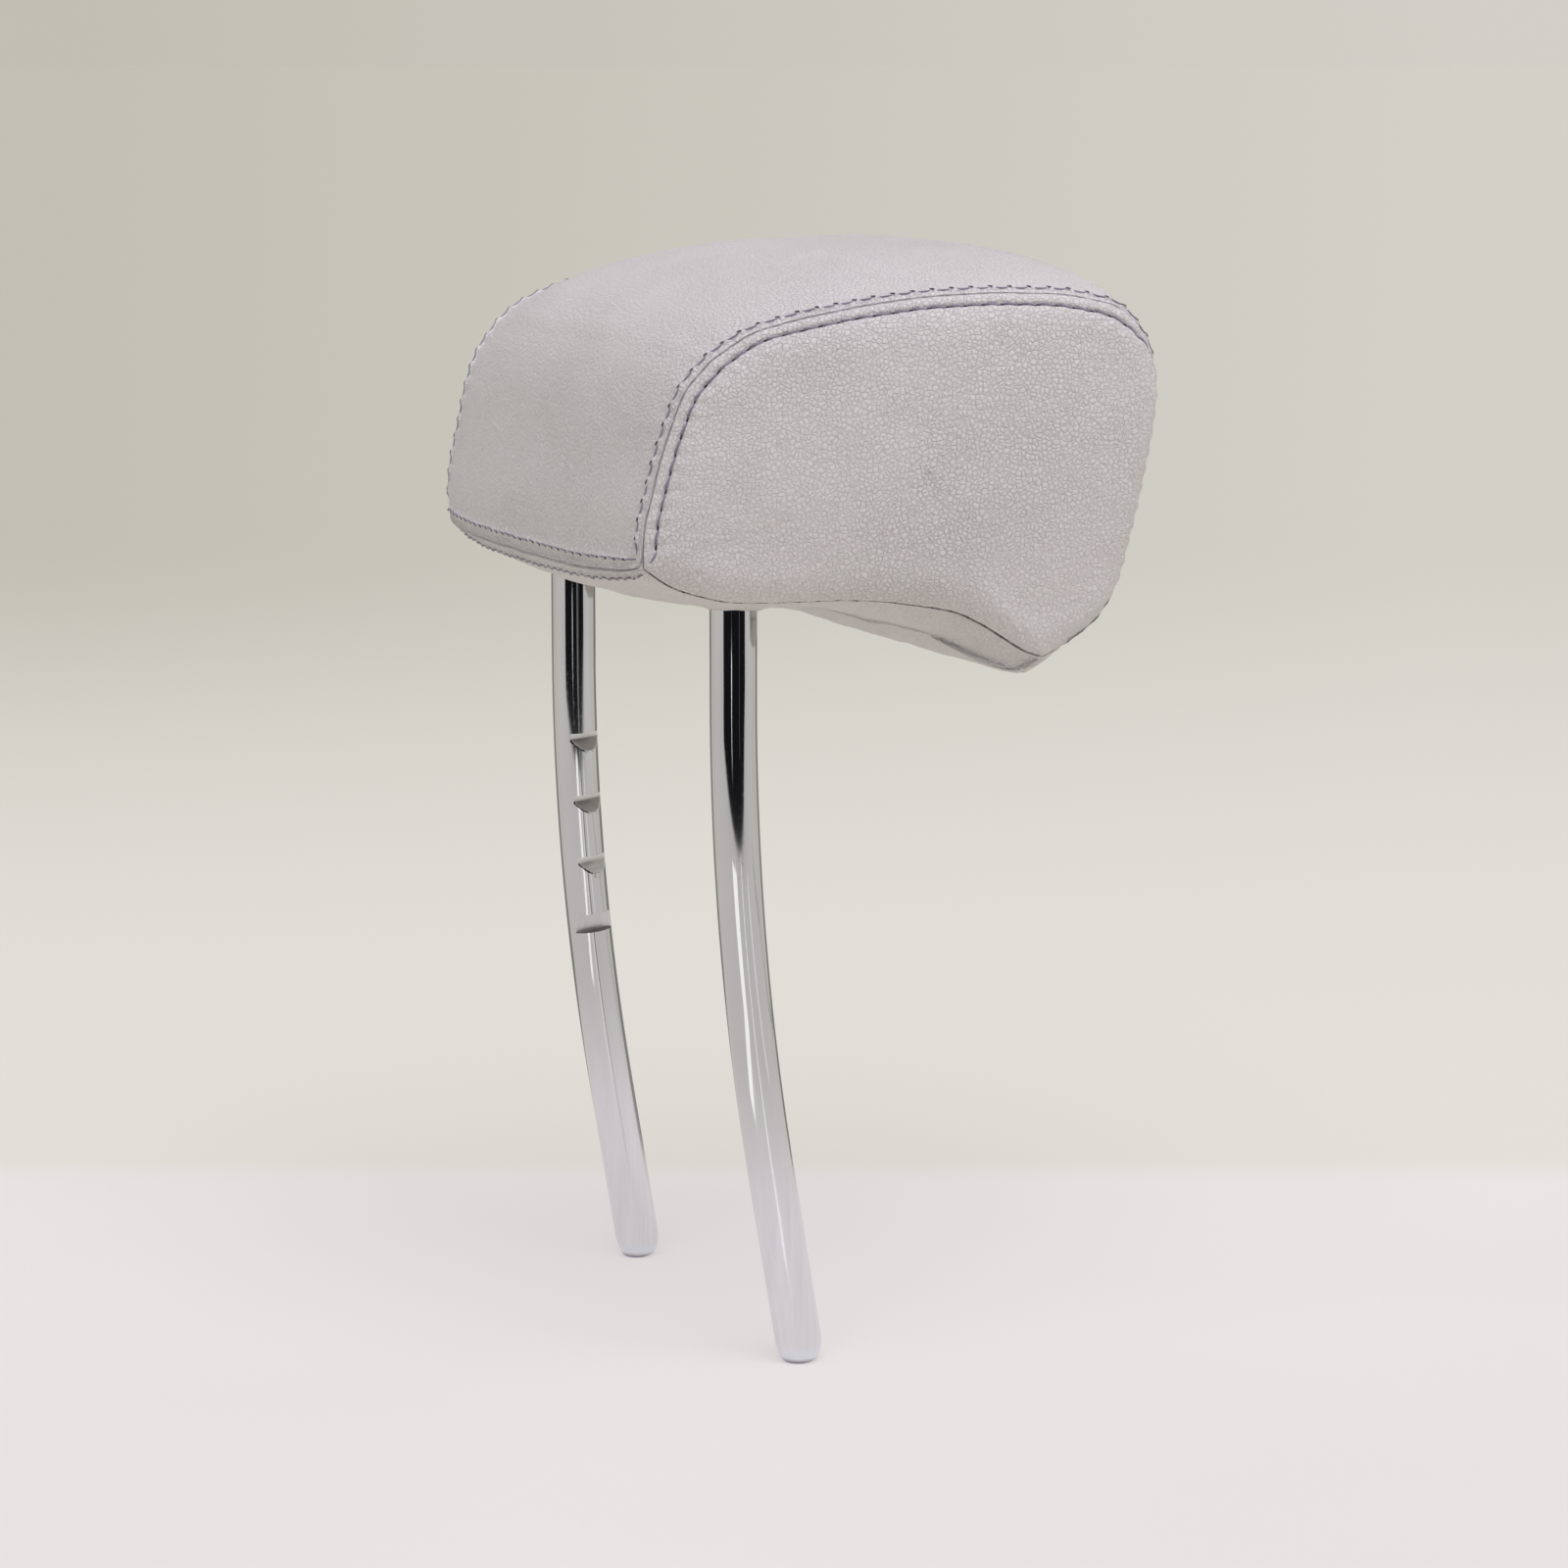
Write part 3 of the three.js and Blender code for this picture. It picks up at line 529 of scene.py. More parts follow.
class Puff:
    """How far the stuffed cover stands off its cut shape, from a cloth run with its seams held fast."""
    rows_wrap, columns, rings = 76, 52, 15
    side_cap, band_cap = 6.5, 1.6
    side_passes, band_passes, most_across = 40, 6, 8
    held_round_post = 5.0
    pressure, last_frame = 4.0, 20

    def __init__(self):
        rows_bottom = int(self.rows_wrap * BOTTOM_TOTAL / WRAP_TOTAL)
        self.t = np.r_[np.linspace(0, WRAP_TOTAL, self.rows_wrap, endpoint=False),
                       WRAP_TOTAL + np.linspace(0, BOTTOM_TOTAL, rows_bottom, endpoint=False)]
        rows = len(self.t)
        self.band = np.zeros((rows, self.columns + 1))
        self.sides = {-1: np.zeros((rows, self.rings + 1)), 1: np.zeros((rows, self.rings + 1))}
        self.blow_up()

    def cut_shape(self):
        """Vertices, faces and pinned vertices of the closed cover, with the index of each part."""
        rows, cols = len(self.t), self.columns + 1
        v = np.linspace(-1, 1, cols)
        verts = [band_surface(*np.broadcast_arrays(self.t[:, None], v)).reshape(-1, 3)]
        band = np.arange(rows * cols).reshape(rows, cols)
        held = np.zeros((rows, cols), bool)
        held[:, 0] = held[:, -1] = held[0] = held[self.rows_wrap] = True
        p = verts[0].reshape(rows, cols, 3)
        for sx in (-1, 1):
            to_post = np.hypot(p[..., 0] - sx * HALF_SPACING, p[..., 1] - POST_TOP_Y)
            at_post = to_post < POST_RADIUS + self.held_round_post
            held |= at_post & (self.t[:, None] > WRAP_TOTAL)
        faces = [grid_faces(rows, cols)]
        faces.append(np.stack([band[-1, :-1], band[-1, 1:], band[0, 1:], band[0, :-1]], -1))
        total = rows * cols
        spoke, _, support = spokes_at(self.t)
        r = np.linspace(1, 0, self.rings + 1)[1:]
        sides, caps = {}, []
        for sign in (-1, 1):
            yz = LOOP_CENTRE + r[:-1, None, None] * spoke[None]
            x = dome_x(yz, r[:-1, None], self.t[None], (1 - r[:-1, None]) * support[None])
            verts.append(np.stack([sign * x, yz[..., 0], yz[..., 1]], -1).reshape(-1, 3))
            verts.append(np.array([[sign * (half_width(*LOOP_CENTRE) + SIDE_CROWN), *LOOP_CENTRE]]))
            own = total + np.arange((self.rings - 1) * rows).reshape(self.rings - 1, rows)
            hub = total + own.size
            total = hub + 1
            rings = np.concatenate([band[None, :, 0 if sign < 0 else -1], own], axis=0)
            sides[sign] = np.concatenate([rings, np.full((1, rows), hub)], axis=0)
            after = np.roll(rings, -1, axis=1)
            faces.append(np.stack([rings[:-1], after[:-1], after[1:], rings[1:]], -1).reshape(-1, 4))
            caps += [(int(a), int(b), hub) for a, b in zip(rings[-1], after[-1])]
        return np.concatenate(verts), np.concatenate(faces), caps, held.ravel(), band, sides

    def blow_up(self):
        verts, faces, caps, held, band, sides = self.cut_shape()
        mesh = mesh_from("cover_cloth", verts * MM, faces.tolist() + caps)
        tidy = bmesh.new()
        tidy.from_mesh(mesh)
        bmesh.ops.recalc_face_normals(tidy, faces=tidy.faces)
        tidy.to_mesh(mesh)
        tidy.free()
        normals = np.array([v.normal[:] for v in mesh.vertices])
        obj = linked("cover_cloth", mesh)
        pins = obj.vertex_groups.new(name="sewn")
        pins.add(np.flatnonzero(held).tolist(), 1.0, "REPLACE")
        cloth = obj.modifiers.new("cloth", "CLOTH")
        run = cloth.settings
        run.quality = 7
        run.mass = 0.25
        run.tension_stiffness = run.compression_stiffness = 18
        run.shear_stiffness = 8
        run.bending_stiffness = 0.6
        run.vertex_group_mass = "sewn"
        run.use_pressure = True
        run.uniform_pressure_force = self.pressure
        run.effector_weights.gravity = 0.0
        cloth.collision_settings.use_collision = False
        cloth.point_cache.frame_start, cloth.point_cache.frame_end = 1, self.last_frame
        for step in range(1, self.last_frame + 1):
            bpy.context.scene.frame_set(step)
        graph = bpy.context.evaluated_depsgraph_get()
        shaken = obj.evaluated_get(graph).to_mesh()
        spots = np.empty(len(verts) * 3)
        shaken.vertices.foreach_get("co", spots)
        rise = ((spots.reshape(-1, 3) / MM - verts) * normals).sum(1)
        bpy.context.scene.frame_set(1)
        bpy.data.objects.remove(obj)
        print("cloth rise in mm: band %.2f..%.2f, sides %.2f..%.2f" % (
            rise[band].min(), rise[band].max(), rise[sides[-1]].min(), rise[sides[-1]].max()))
        self.band = self.band_cap * np.tanh(self.calmed(rise[band], self.band_passes) / self.band_cap)
        for sign in (-1, 1):
            field = self.calmed(rise[sides[sign]].T, self.side_passes)
            level = field.mean(0)
            inward = smoothstep(np.linspace(0, 1, field.shape[1]), 0.30, 0.95)
            field = field * (1 - inward) + level * inward
            self.sides[sign] = self.side_cap * np.tanh(field / self.side_cap)

    def calmed(self, field, passes):
        """Evens out the grid's own creases; the sewn edges keep their place."""
        for _ in range(passes):
            field = (np.roll(field, 1, 0) + 2 * field + np.roll(field, -1, 0)) / 4
        for _ in range(min(passes, self.most_across)):
            field[:, 1:-1] = (field[:, :-2] + 2 * field[:, 1:-1] + field[:, 2:]) / 4
        return field

    def read(self, field, t, place):
        """The field between its points, at outline length t and a place across."""
        row = np.interp(np.mod(t, LOOP_TOTAL), np.r_[self.t, LOOP_TOTAL], np.arange(len(self.t) + 1))
        i = np.minimum(row.astype(int), len(self.t) - 1)
        j = np.clip(place.astype(int), 0, field.shape[1] - 2)
        f, g = row - i, place - j
        nxt = (i + 1) % len(self.t)
        return ((field[i, j] * (1 - g) + field[i, j + 1] * g) * (1 - f)
                + (field[nxt, j] * (1 - g) + field[nxt, j + 1] * g) * f)

    def on_band(self, t, v):
        return self.read(self.band, t, (v + 1) / 2 * self.columns)

    def on_side(self, sign, t, r):
        return self.read(self.sides[sign], t, (1 - r) * self.rings)


def shaped(pts, normals, relief):
    return pts + normals * relief[..., None]


def grid_faces(rows, cols, wrap_cols=False, flip=False, keep=None):
    index = np.arange(rows * cols).reshape(rows, cols)
    if wrap_cols:
        index = np.concatenate([index, index[:, :1]], axis=1)
    a, b = index[:-1, :-1], index[:-1, 1:]
    c, d = index[1:, 1:], index[1:, :-1]
    faces = np.stack([a, b, c, d] if not flip else [a, d, c, b], -1)
    if keep is not None:
        faces = faces[keep]
    return faces.reshape(-1, 4)


def panel(name, pts, faces, nodes, extra_verts=(), extra_faces=()):
    """A leather panel that takes the place of CAD nodes."""
    verts = (pts.reshape(-1, 3) * MM).tolist() + [[c * MM for c in v] for v in extra_verts]
    mesh = mesh_from(name, verts, faces.tolist() + list(extra_faces))
    mesh.validate()
    obj = new_object(name, mesh, LEATHER)
    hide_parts(*nodes)


class Sewing:
    """Collects the stitches of one run of thread, and the needle holes between them, drawn as near-black
    blobs of painted shade.
    """

    def __init__(self):
        self.verts, self.faces, self.marks = [], [], []

    def blob(self, centre, along, across, up, half, thick, mark, sink=0.0, sides=8, rings=6):
        """A long rounded body whose ends may sink into the leather."""
        base = len(self.verts)
        for i in range(rings + 1):
            a = math.pi * i / rings
            bulge = math.sin(a) ** 0.55 if 0 < i < rings else 0.0
            for k in range(sides):
                b = 2 * math.pi * k / sides
                spot = (centre - along * half * math.cos(a)
                        + across * thick * bulge * math.cos(b) + up * thick * bulge * math.sin(b)
                        - up * sink * abs(math.cos(a)) ** 3)
                self.verts.append(spot * MM)
        for i in range(rings):
            for k in range(sides):
                k2 = (k + 1) % sides
                self.faces.append((base + i * sides + k, base + (i + 1) * sides + k,
                                   base + (i + 1) * sides + k2, base + i * sides + k2))
                self.marks.append(mark)

    def run(self, line, normals, station=None, phase=0.0, pitch=STITCH_PITCH,
            fill=STITCH_LENGTH / STITCH_PITCH, radius=THREAD_RADIUS, lift=0.14, holes=True, skew=0.10,
            hole_length=1.0, hole_width=0.42, mark=0):
        """One stitch where station + phase is a whole number of pitches; without stations, by arc length."""
        if station is None:
            step = np.linalg.norm(np.diff(line, axis=0), axis=1)
            station = np.r_[0, np.cumsum(step)]
            count = max(int(round(station[-1] / pitch)), 1)
            station, phase = station * count * pitch / station[-1], -pitch / 2
        if station[0] > station[-1]:
            line, normals, station = line[::-1], normals[::-1], station[::-1]
        reach, overrun = pitch * fill / 2, 0.6
        first = math.ceil((station[0] + phase + reach) / pitch - overrun)
        last = math.floor((station[-1] + phase - reach) / pitch + overrun)

        def at(values, place):
            return np.array([np.interp(place, station, values[:, k]) for k in range(3)])

        for i in range(first, last + 1):
            middle = i * pitch - phase
            a, b = at(line, middle - reach), at(line, middle + reach)
            along = unit(b - a)
            n = at(normals, middle)
            n = unit(n - along * float(n @ along))
            across = np.cross(n, along)
            way = unit(along + across * (skew + 0.08 * (float(hash_noise(i * 1.7, pitch)) - 0.5)))
            centre = at(line, middle) + n * lift
            half = float(np.linalg.norm(b - a)) / 2 * (0.96 + 0.08 * float(hash_noise(i * 2.3, 1.0)))
            self.blob(centre, way, np.cross(n, way), n, half, radius, mark, sink=0.42)
            if holes and i < last:
                # the needle hole: a dark blob whose colour is painted shade
                spot = at(line, middle + pitch / 2)
                hn = unit(at(normals, middle + pitch / 2))
                hole_way = unit(along + across * 0.38)
                self.blob(spot + hn * 0.08, hole_way, np.cross(hn, hole_way), hn * 0.22, hole_length,
                          hole_width, 1, rings=4, sides=6)

    def finish(self, name):
        mesh = mesh_from(name, self.verts, self.faces)
        obj = new_object(name, mesh, THREAD)
        obj.data.materials.append(HOLE_SHADE)
        mesh.polygons.foreach_set("material_index", self.marks)


def level_line(pts, normals, dist_rows, target):
    """Line through a grid at a given distance per row; dist_rows rises along the second axis."""
    line, norms = [], []
    for i in range(len(pts)):
        j = int(np.clip(np.searchsorted(dist_rows[i], target[i]) - 1, 0, pts.shape[1] - 2))
        f = (target[i] - dist_rows[i][j]) / (dist_rows[i][j + 1] - dist_rows[i][j])
        line.append(pts[i, j] * (1 - f) + pts[i, j + 1] * f)
        norms.append(normals[i, j] * (1 - f) + normals[i, j + 1] * f)
    return np.array(line), unit(np.array(norms))


def rounded(first, second, first_n, second_n):
    """Joins two runs of points with a short bend instead of a corner."""
    a, b = first[-1], second[0]
    ta, tb = unit(first[-1] - first[-3]), unit(second[2] - second[0])
    reach = np.linalg.norm(b - a) * 0.55
    bend, bend_n = [], []
    for w in np.linspace(0, 1, 8)[1:-1]:
        c1, c2 = a + ta * reach, b - tb * reach
        bend.append((1 - w) ** 3 * a + 3 * (1 - w) ** 2 * w * c1 + 3 * (1 - w) * w ** 2 * c2 + w ** 3 * b)
        bend_n.append(unit(first_n[-1] * (1 - w) + second_n[0] * w))
    return np.r_[first, bend, second], np.r_[first_n, bend_n, second_n]


class Nodes:
    """Builds the nodes of one material, or of the world."""

    def __init__(self, name, owner=None, coords="Object"):
        self.mat = owner or bpy.data.materials.new(name)
        self.mat.use_nodes = True
        self.tree = self.mat.node_tree
        self.shader = self.tree.nodes.get("Principled BSDF")
        self.coords = self.tree.nodes.new("ShaderNodeTexCoord").outputs[coords]

    def put(self, socket, value):
        if isinstance(value, bpy.types.NodeSocket):
            self.tree.links.new(value, socket)
        else:
            socket.default_value = value

    def node(self, kind, sockets, **settings):
        node = self.tree.nodes.new("ShaderNode" + kind)
        for key, value in settings.items():
            setattr(node, key, value)
        for key, value in sockets.items():
            self.put(node.inputs[key], value)
        return node

    def set(self, **values):
        for key, value in values.items():
            self.put(self.shader.inputs[key.replace("_", " ")], value)

    def xyz(self):
        return self.node("SeparateXYZ", {0: self.coords}).outputs

    def noise(self, scale, detail=3.0, roughness=0.5, stretch=None, distortion=0.0):
        coords = self.coords
        if stretch is not None:
            coords = self.node("Mapping", {"Vector": coords, "Scale": stretch}).outputs[0]
        return self.node("TexNoise", {"Vector": coords, "Scale": scale, "Detail": detail,
                                      "Roughness": roughness, "Distortion": distortion}).outputs["Fac"]

    def cells(self, scale, feature="F1", coords=None, smooth=0.3):
        sockets = {"Vector": self.coords if coords is None else coords, "Scale": scale, "Randomness": 1.0}
        if feature == "SMOOTH_F1":
            sockets["Smoothness"] = smooth
        return self.node("TexVoronoi", sockets, feature=feature).outputs["Distance"]

    def warped(self, scale, amount):
        drift = self.node("TexNoise", {"Vector": self.coords, "Scale": scale, "Detail": 2.0})
        return self.node("VectorMath", {0: drift.outputs["Color"], 1: (amount,) * 3, 2: self.coords},
                         operation="MULTIPLY_ADD").outputs[0]

    def math(self, op, a, b=0.0, c=0.0):
        return self.node("Math", {0: a, 1: b, 2: c}, operation=op).outputs[0]

    def remap(self, value, low, high, to_low=0.0, to_high=1.0, smooth=False):
        return self.node("MapRange", {0: value, 1: low, 2: high, 3: to_low, 4: to_high},
                         interpolation_type="SMOOTHSTEP" if smooth else "LINEAR").outputs[0]

    def mix(self, fac, a, b):
        return self.node("Mix", {0: fac, 6: a, 7: b}, data_type="RGBA").outputs[2]

    def bump(self, height, distance, strength=1.0):
        return self.node("Bump", {"Height": height, "Distance": distance, "Strength": strength}).outputs[0]

    def shown(self):
        """1 for rays that look at a surface or mirror it, 0 for light that bounces off it."""
        rays = self.node("LightPath", {}).outputs
        seen = self.math("MAXIMUM", rays["Is Camera Ray"], rays["Is Glossy Ray"])
        return self.math("MAXIMUM", seen, rays["Is Transmission Ray"])


def leather_material():
    m = Nodes("leather")
    warp = m.warped(300.0, 0.0009)
    # pebbles of about 1.4 mm with creases between them, finer grain on top and slow wrinkles below
    crease = m.cells(720.0, "DISTANCE_TO_EDGE", warp)
    ridge = m.remap(crease, 0.0, 0.12, 0.0, 1.0, smooth=True)
    pebble = m.cells(720.0, "SMOOTH_F1", warp, smooth=0.6)
    fine = m.cells(1500.0, "SMOOTH_F1", warp, smooth=0.5)
    wrinkle = m.noise(560.0, 3.0, 0.6, distortion=0.5)
    patch = m.noise(20.0, 3.0)
    strength = m.remap(patch, 0.30, 0.70, 0.70, 1.0, smooth=True)
    height = m.math("MULTIPLY_ADD", ridge, 0.50, m.math("MULTIPLY", pebble, -0.66))
    height = m.math("MULTIPLY_ADD", wrinkle, 0.65, height)
    height = m.math("MULTIPLY_ADD", fine, -0.20, height)
    height = m.math("MULTIPLY", height, strength)
    soft = m.noise(90.0, 3.0)
    height = m.math("MULTIPLY_ADD", soft, 0.6, height)
    shade = m.noise(9.0, 3.0, 0.55)
    base = m.mix(m.remap(shade, 0.3, 0.7), (0.546, 0.515, 0.548, 1), (0.566, 0.537, 0.568, 1))
    worn = m.noise(60.0, 4.0, 0.6)
    base = m.mix(m.remap(worn, 0.35, 0.75, 0.0, 0.30), base, (0.542, 0.518, 0.526, 1))
    # painted shade: the grain's creases are drawn darker, as if shaded
    dark = m.math("MULTIPLY", m.math("SUBTRACT", 1.0, ridge), m.math("MULTIPLY", strength, 0.24))
    base = m.mix(dark, base, (0.40, 0.36, 0.39, 1))
    rough = m.remap(m.math("MULTIPLY_ADD", pebble, 0.5, worn), 0.3, 1.0, 0.52, 0.66)
    m.set(Base_Color=base, Roughness=rough, Specular_IOR_Level=0.38, Sheen_Weight=0.05, Sheen_Roughness=0.45,
          Normal=m.bump(height, 0.00042, 1.0))
    return m.mat


def thread_material():
    m = Nodes("thread")
    twist = m.node("TexWave", {"Vector": m.coords, "Scale": 900.0, "Distortion": 1.5},
                   wave_type="BANDS", bands_direction="DIAGONAL").outputs["Fac"]
    fibre = m.noise(2500.0, 2.0)
    tone = m.noise(160.0, 2.0)
    base = m.mix(m.remap(tone, 0.3, 0.7), (0.185, 0.165, 0.235, 1), (0.275, 0.25, 0.335, 1))
    base = m.mix(m.remap(twist, 0.0, 1.0, 0.0, 0.35), base, (0.12, 0.105, 0.16, 1))
    height = m.math("MULTIPLY_ADD", fibre, 0.3, twist)
    m.set(Base_Color=base, Roughness=m.remap(fibre, 0.3, 0.7, 0.55, 0.75), Specular_IOR_Level=0.3,
          Sheen_Weight=0.15, Normal=m.bump(height, 0.00008, 0.6))
    return m.mat


# Near-black painted shade for the needle holes, also used for the dark seam line under the sides
def hole_shade_material():
    m = Nodes("needle_hole_shade")
    tone = m.noise(500.0, 2.0)
    base = m.mix(tone, (0.022, 0.019, 0.032, 1), (0.060, 0.052, 0.075, 1))
    m.set(Base_Color=base, Roughness=m.remap(tone, 0.3, 0.7, 0.8, 0.95), Specular_IOR_Level=0.1)
    return m.mat


def chrome_material():
    m = Nodes("chrome")
    haze = m.noise(14.0, 3.0)
    drawn = m.noise(600.0, 3.0, 0.6, stretch=(1.0, 1.0, 0.02))
    specks = m.noise(900.0, 2.0)
    level = m.xyz()[2]
    # duller towards the lower ends, and paler there as a painted reflection of the bright table
    low = m.remap(level, 0.035, 0.10, 1.0, 0.0, smooth=True)
    rough = m.math("MULTIPLY_ADD", m.remap(haze, 0.3, 0.7), 0.035, 0.045)
    rough = m.math("MULTIPLY_ADD", m.remap(specks, 0.62, 0.72), 0.05, rough)
    rough = m.math("MULTIPLY_ADD", low, 0.13, rough)
    base = m.mix(m.remap(haze, 0.3, 0.7), (0.540, 0.546, 0.536, 1), (0.590, 0.596, 0.586, 1))
    base = m.mix(m.math("MULTIPLY", low, 0.8), base, (0.868, 0.862, 0.912, 1))
    streak = m.noise(420.0, 4.0, 0.65, stretch=(1.0, 1.0, 0.03))
    streaks = m.math("MULTIPLY", m.remap(streak, 0.35, 0.70), m.remap(low, 0.0, 1.0, 0.05, 0.24))
    base = m.mix(streaks, base, (0.52, 0.52, 0.55, 1))
    # a painted reflection, a pale bluish band round each tip, and a painted contact shadow, a dark rim below
    # it
    sheen = m.math("MULTIPLY", m.remap(level, 0.0010, 0.0026, 0.0, 0.55, smooth=True),
                   m.remap(level, 0.0030, 0.0060, 1.0, 0.0, smooth=True))
    base = m.mix(sheen, base, (0.78, 0.84, 0.92, 1))
    tip_contact_shadow = m.remap(level, 0.0002, 0.0020, 0.80, 0.0, smooth=True)
    base = m.mix(tip_contact_shadow, base, (0.16, 0.175, 0.215, 1))
    m.set(Base_Color=base, Metallic=1.0, Roughness=rough, Normal=m.bump(drawn, 0.00002, 0.25))
    return m.mat


def milled_material(name, dark, light, lowest):
    """Bare cut faces of the notches and the stop, duller than the plating, in greys painted lighter or darker
    for how light falls on them; the lowest notch has its own.
    """
    m = Nodes(name)
    lines = m.noise(900.0, 2.0, 0.6, stretch=(1.0, 1.0, 0.15))
    tone = m.noise(180.0, 2.0)
    dark, light, lowest = ((grey, grey, grey * 1.01, 1) for grey in (dark, light, lowest))
    base = m.mix(m.remap(tone, 0.3, 0.7), dark, light)
    base = m.mix(m.remap(m.xyz()[2], 0.138, 0.146, 1.0, 0.0), base, lowest)
    m.set(Base_Color=base, Metallic=1.0, Roughness=m.remap(lines, 0.3, 0.7, 0.30, 0.42),
          Normal=m.bump(lines, 0.00003, 0.4))
    return m.mat


def foam_material():
    m = Nodes("foam")
    cell = m.cells(900.0, "F1")
    tone = m.noise(20.0, 3.0)
    base = m.mix(tone, (0.60, 0.52, 0.30, 1), (0.70, 0.62, 0.40, 1))
    # painted shade: the pores are drawn darker, as if shaded
    base = m.mix(m.remap(cell, 0.0, 0.35, 0.5, 0.0), base, (0.38, 0.31, 0.16, 1))
    m.set(Base_Color=base, Roughness=m.remap(tone, 0.3, 0.7, 0.85, 0.97), Specular_IOR_Level=0.2,
          Normal=m.bump(cell, 0.0004, 0.7))
    return m.mat


def plastic_material():
    m = Nodes("moulded_plastic")
    grain = m.noise(1800.0, 3.0, 0.6)
    tone = m.noise(25.0, 2.0)
    base = m.mix(tone, (0.018, 0.018, 0.020, 1), (0.036, 0.036, 0.040, 1))
    m.set(Base_Color=base, Roughness=m.remap(tone, 0.3, 0.7, 0.45, 0.6), Normal=m.bump(grain, 0.00008, 0.4))
    return m.mat


def zinc_material():
    m = Nodes("zinc_plate")
    spangle = m.cells(700.0, "F1")
    tone = m.noise(120.0, 3.0)
    base = m.mix(tone, (0.42, 0.44, 0.46, 1), (0.56, 0.57, 0.58, 1))
    m.set(Base_Color=base, Metallic=1.0, Roughness=m.remap(spangle, 0.0, 0.6, 0.28, 0.45),
          Normal=m.bump(spangle, 0.00003, 0.4))
    return m.mat


PUFF = Puff()
LEATHER, THREAD, HOLE_SHADE, CHROME = leather_material(), thread_material(), hole_shade_material(), chrome_material()
# The double rows round the wrap are of slightly finer thread, and stop short of the lip's corners.
FINE_THREAD = {"radius": 0.35, "hole_length": 0.8, "hole_width": 0.38}
ROW_STOPS_BEFORE_LIP = 8


def build_pad():
    t, v, d, pts, nrm, relief = wrap_grid()
    wrap = shaped(pts, nrm, relief)
    panel("wrap_panel", wrap, grid_faces(len(t), v.shape[1]), ["cover_wrap_panel"])

    sewing = Sewing()
    row = wrap_row(WRAP_TOTAL - t)
    half = v.shape[1] // 2 + 1
    keep = (t > WRAP_ROW + 2.0) & (t < WRAP_TOTAL - ROW_STOPS_BEFORE_LIP)
    j = int(np.argmin(np.abs(t - WRAP_ROW)))
    edge = int(np.argmax(d[j] > WRAP_ROW + 2.0))
    rear, rear_n = wrap[j, edge:v.shape[1] - edge], nrm[j, edge:v.shape[1] - edge]
    sewing.run(rear, rear_n, station=rear[:, 0], **FINE_THREAD)
    for way in (1, -1):
        # the row along this side, and the bend that joins it to the rear's row
        line, line_n = level_line(*(grid[:, ::way][:, :half] for grid in (wrap, nrm, d)), row)
        line, line_n = line[keep], line_n[keep]
        sewing.run(line, line_n, station=t[keep], **FINE_THREAD)
        bend, bend_n = rounded(line[:4][::-1], rear[::way][:4], line_n[:4][::-1], rear_n[::way][:4])
        sewing.run(bend, bend_n, **FINE_THREAD)

    t, v, d, pts, nrm, relief = bottom_grid()
    bottom = shaped(pts, nrm, relief)
    centre = (bottom[:-1, :-1] + bottom[1:, 1:]) / 2
    to_post = np.hypot(np.abs(centre[..., 0]) - HALF_SPACING, centre[..., 1] - POST_TOP_Y)
    clear = to_post > POST_RADIUS - 1.0
    ahead = centre[..., 1] < POST_TOP_Y
    rows, cols = v.shape
    for name, part in (("bottom_front_panel", ahead), ("bottom_rear_panel", ~ahead)):
        panel(name, bottom, grid_faces(rows, cols, keep=clear & part), ["cover_" + name])
    j = int(np.argmin(np.abs(LOOP_TOTAL - t - WRAP_ROW)))
    inner = slice(int(np.argmax(d[j] > 5)), cols - int(np.argmax(d[j] > 5)))
    sewing.run(bottom[j, inner], nrm[j, inner], station=bottom[j, inner, 0], **FINE_THREAD)
    sewing.finish("thread_round_wrap")

    for side, sign in (("left", -1), ("right", 1)):
        t, r, d, pts, nrm, relief = dome_grid(sign)
        dome = shaped(pts, nrm, relief)
        rings, spokes = r.shape
        hub = dome[-1].mean(0)
        faces = grid_faces(rings, spokes, wrap_cols=True, flip=sign < 0)
        last = (rings - 1) * spokes
        cap = [(last + (k + 1) % spokes, last + k, rings * spokes) if sign < 0 else
               (last + k, last + (k + 1) % spokes, rings * spokes) for k in range(spokes)]
        panel(side + "_side_panel", dome, faces, ["cover_" + side + "_side_panel"], [hub], cap)
        on_wrap = t <= WRAP_TOTAL
        row, _ = side_row(t)
        line, line_n = level_line(dome.transpose(1, 0, 2)[on_wrap], nrm.transpose(1, 0, 2)[on_wrap],
                                  d.T[on_wrap], row[on_wrap])
        keep = (t[on_wrap] > 0.6) & (t[on_wrap] < WRAP_TOTAL - ROW_STOPS_BEFORE_LIP)
        sewing = Sewing()
        sewing.run(line[keep], line_n[keep], station=t[on_wrap][keep], phase=STITCH_PITCH / 2, fill=0.80,
                   skew=0.14 * sign, hole_length=1.15, hole_width=0.55)
        # small plain stitches that show in the seam under the side, on a thinner unbroken thread; they take
        # the needle holes' near-black, so they are the thread and the seam's painted shade together
        seam, seam_n = dome[1][~on_wrap], nrm[1][~on_wrap]
        sewing.run(seam[4:-4], seam_n[4:-4], pitch=5.7, fill=0.28, radius=0.36, holes=False, lift=0.45,
                   mark=1)
        sewing.run(seam[1:-1], seam_n[1:-1], pitch=2.9, fill=1.2, radius=0.24, holes=False, lift=0.42,
                   skew=0.0, mark=1)
        sewing.finish("thread_" + side)


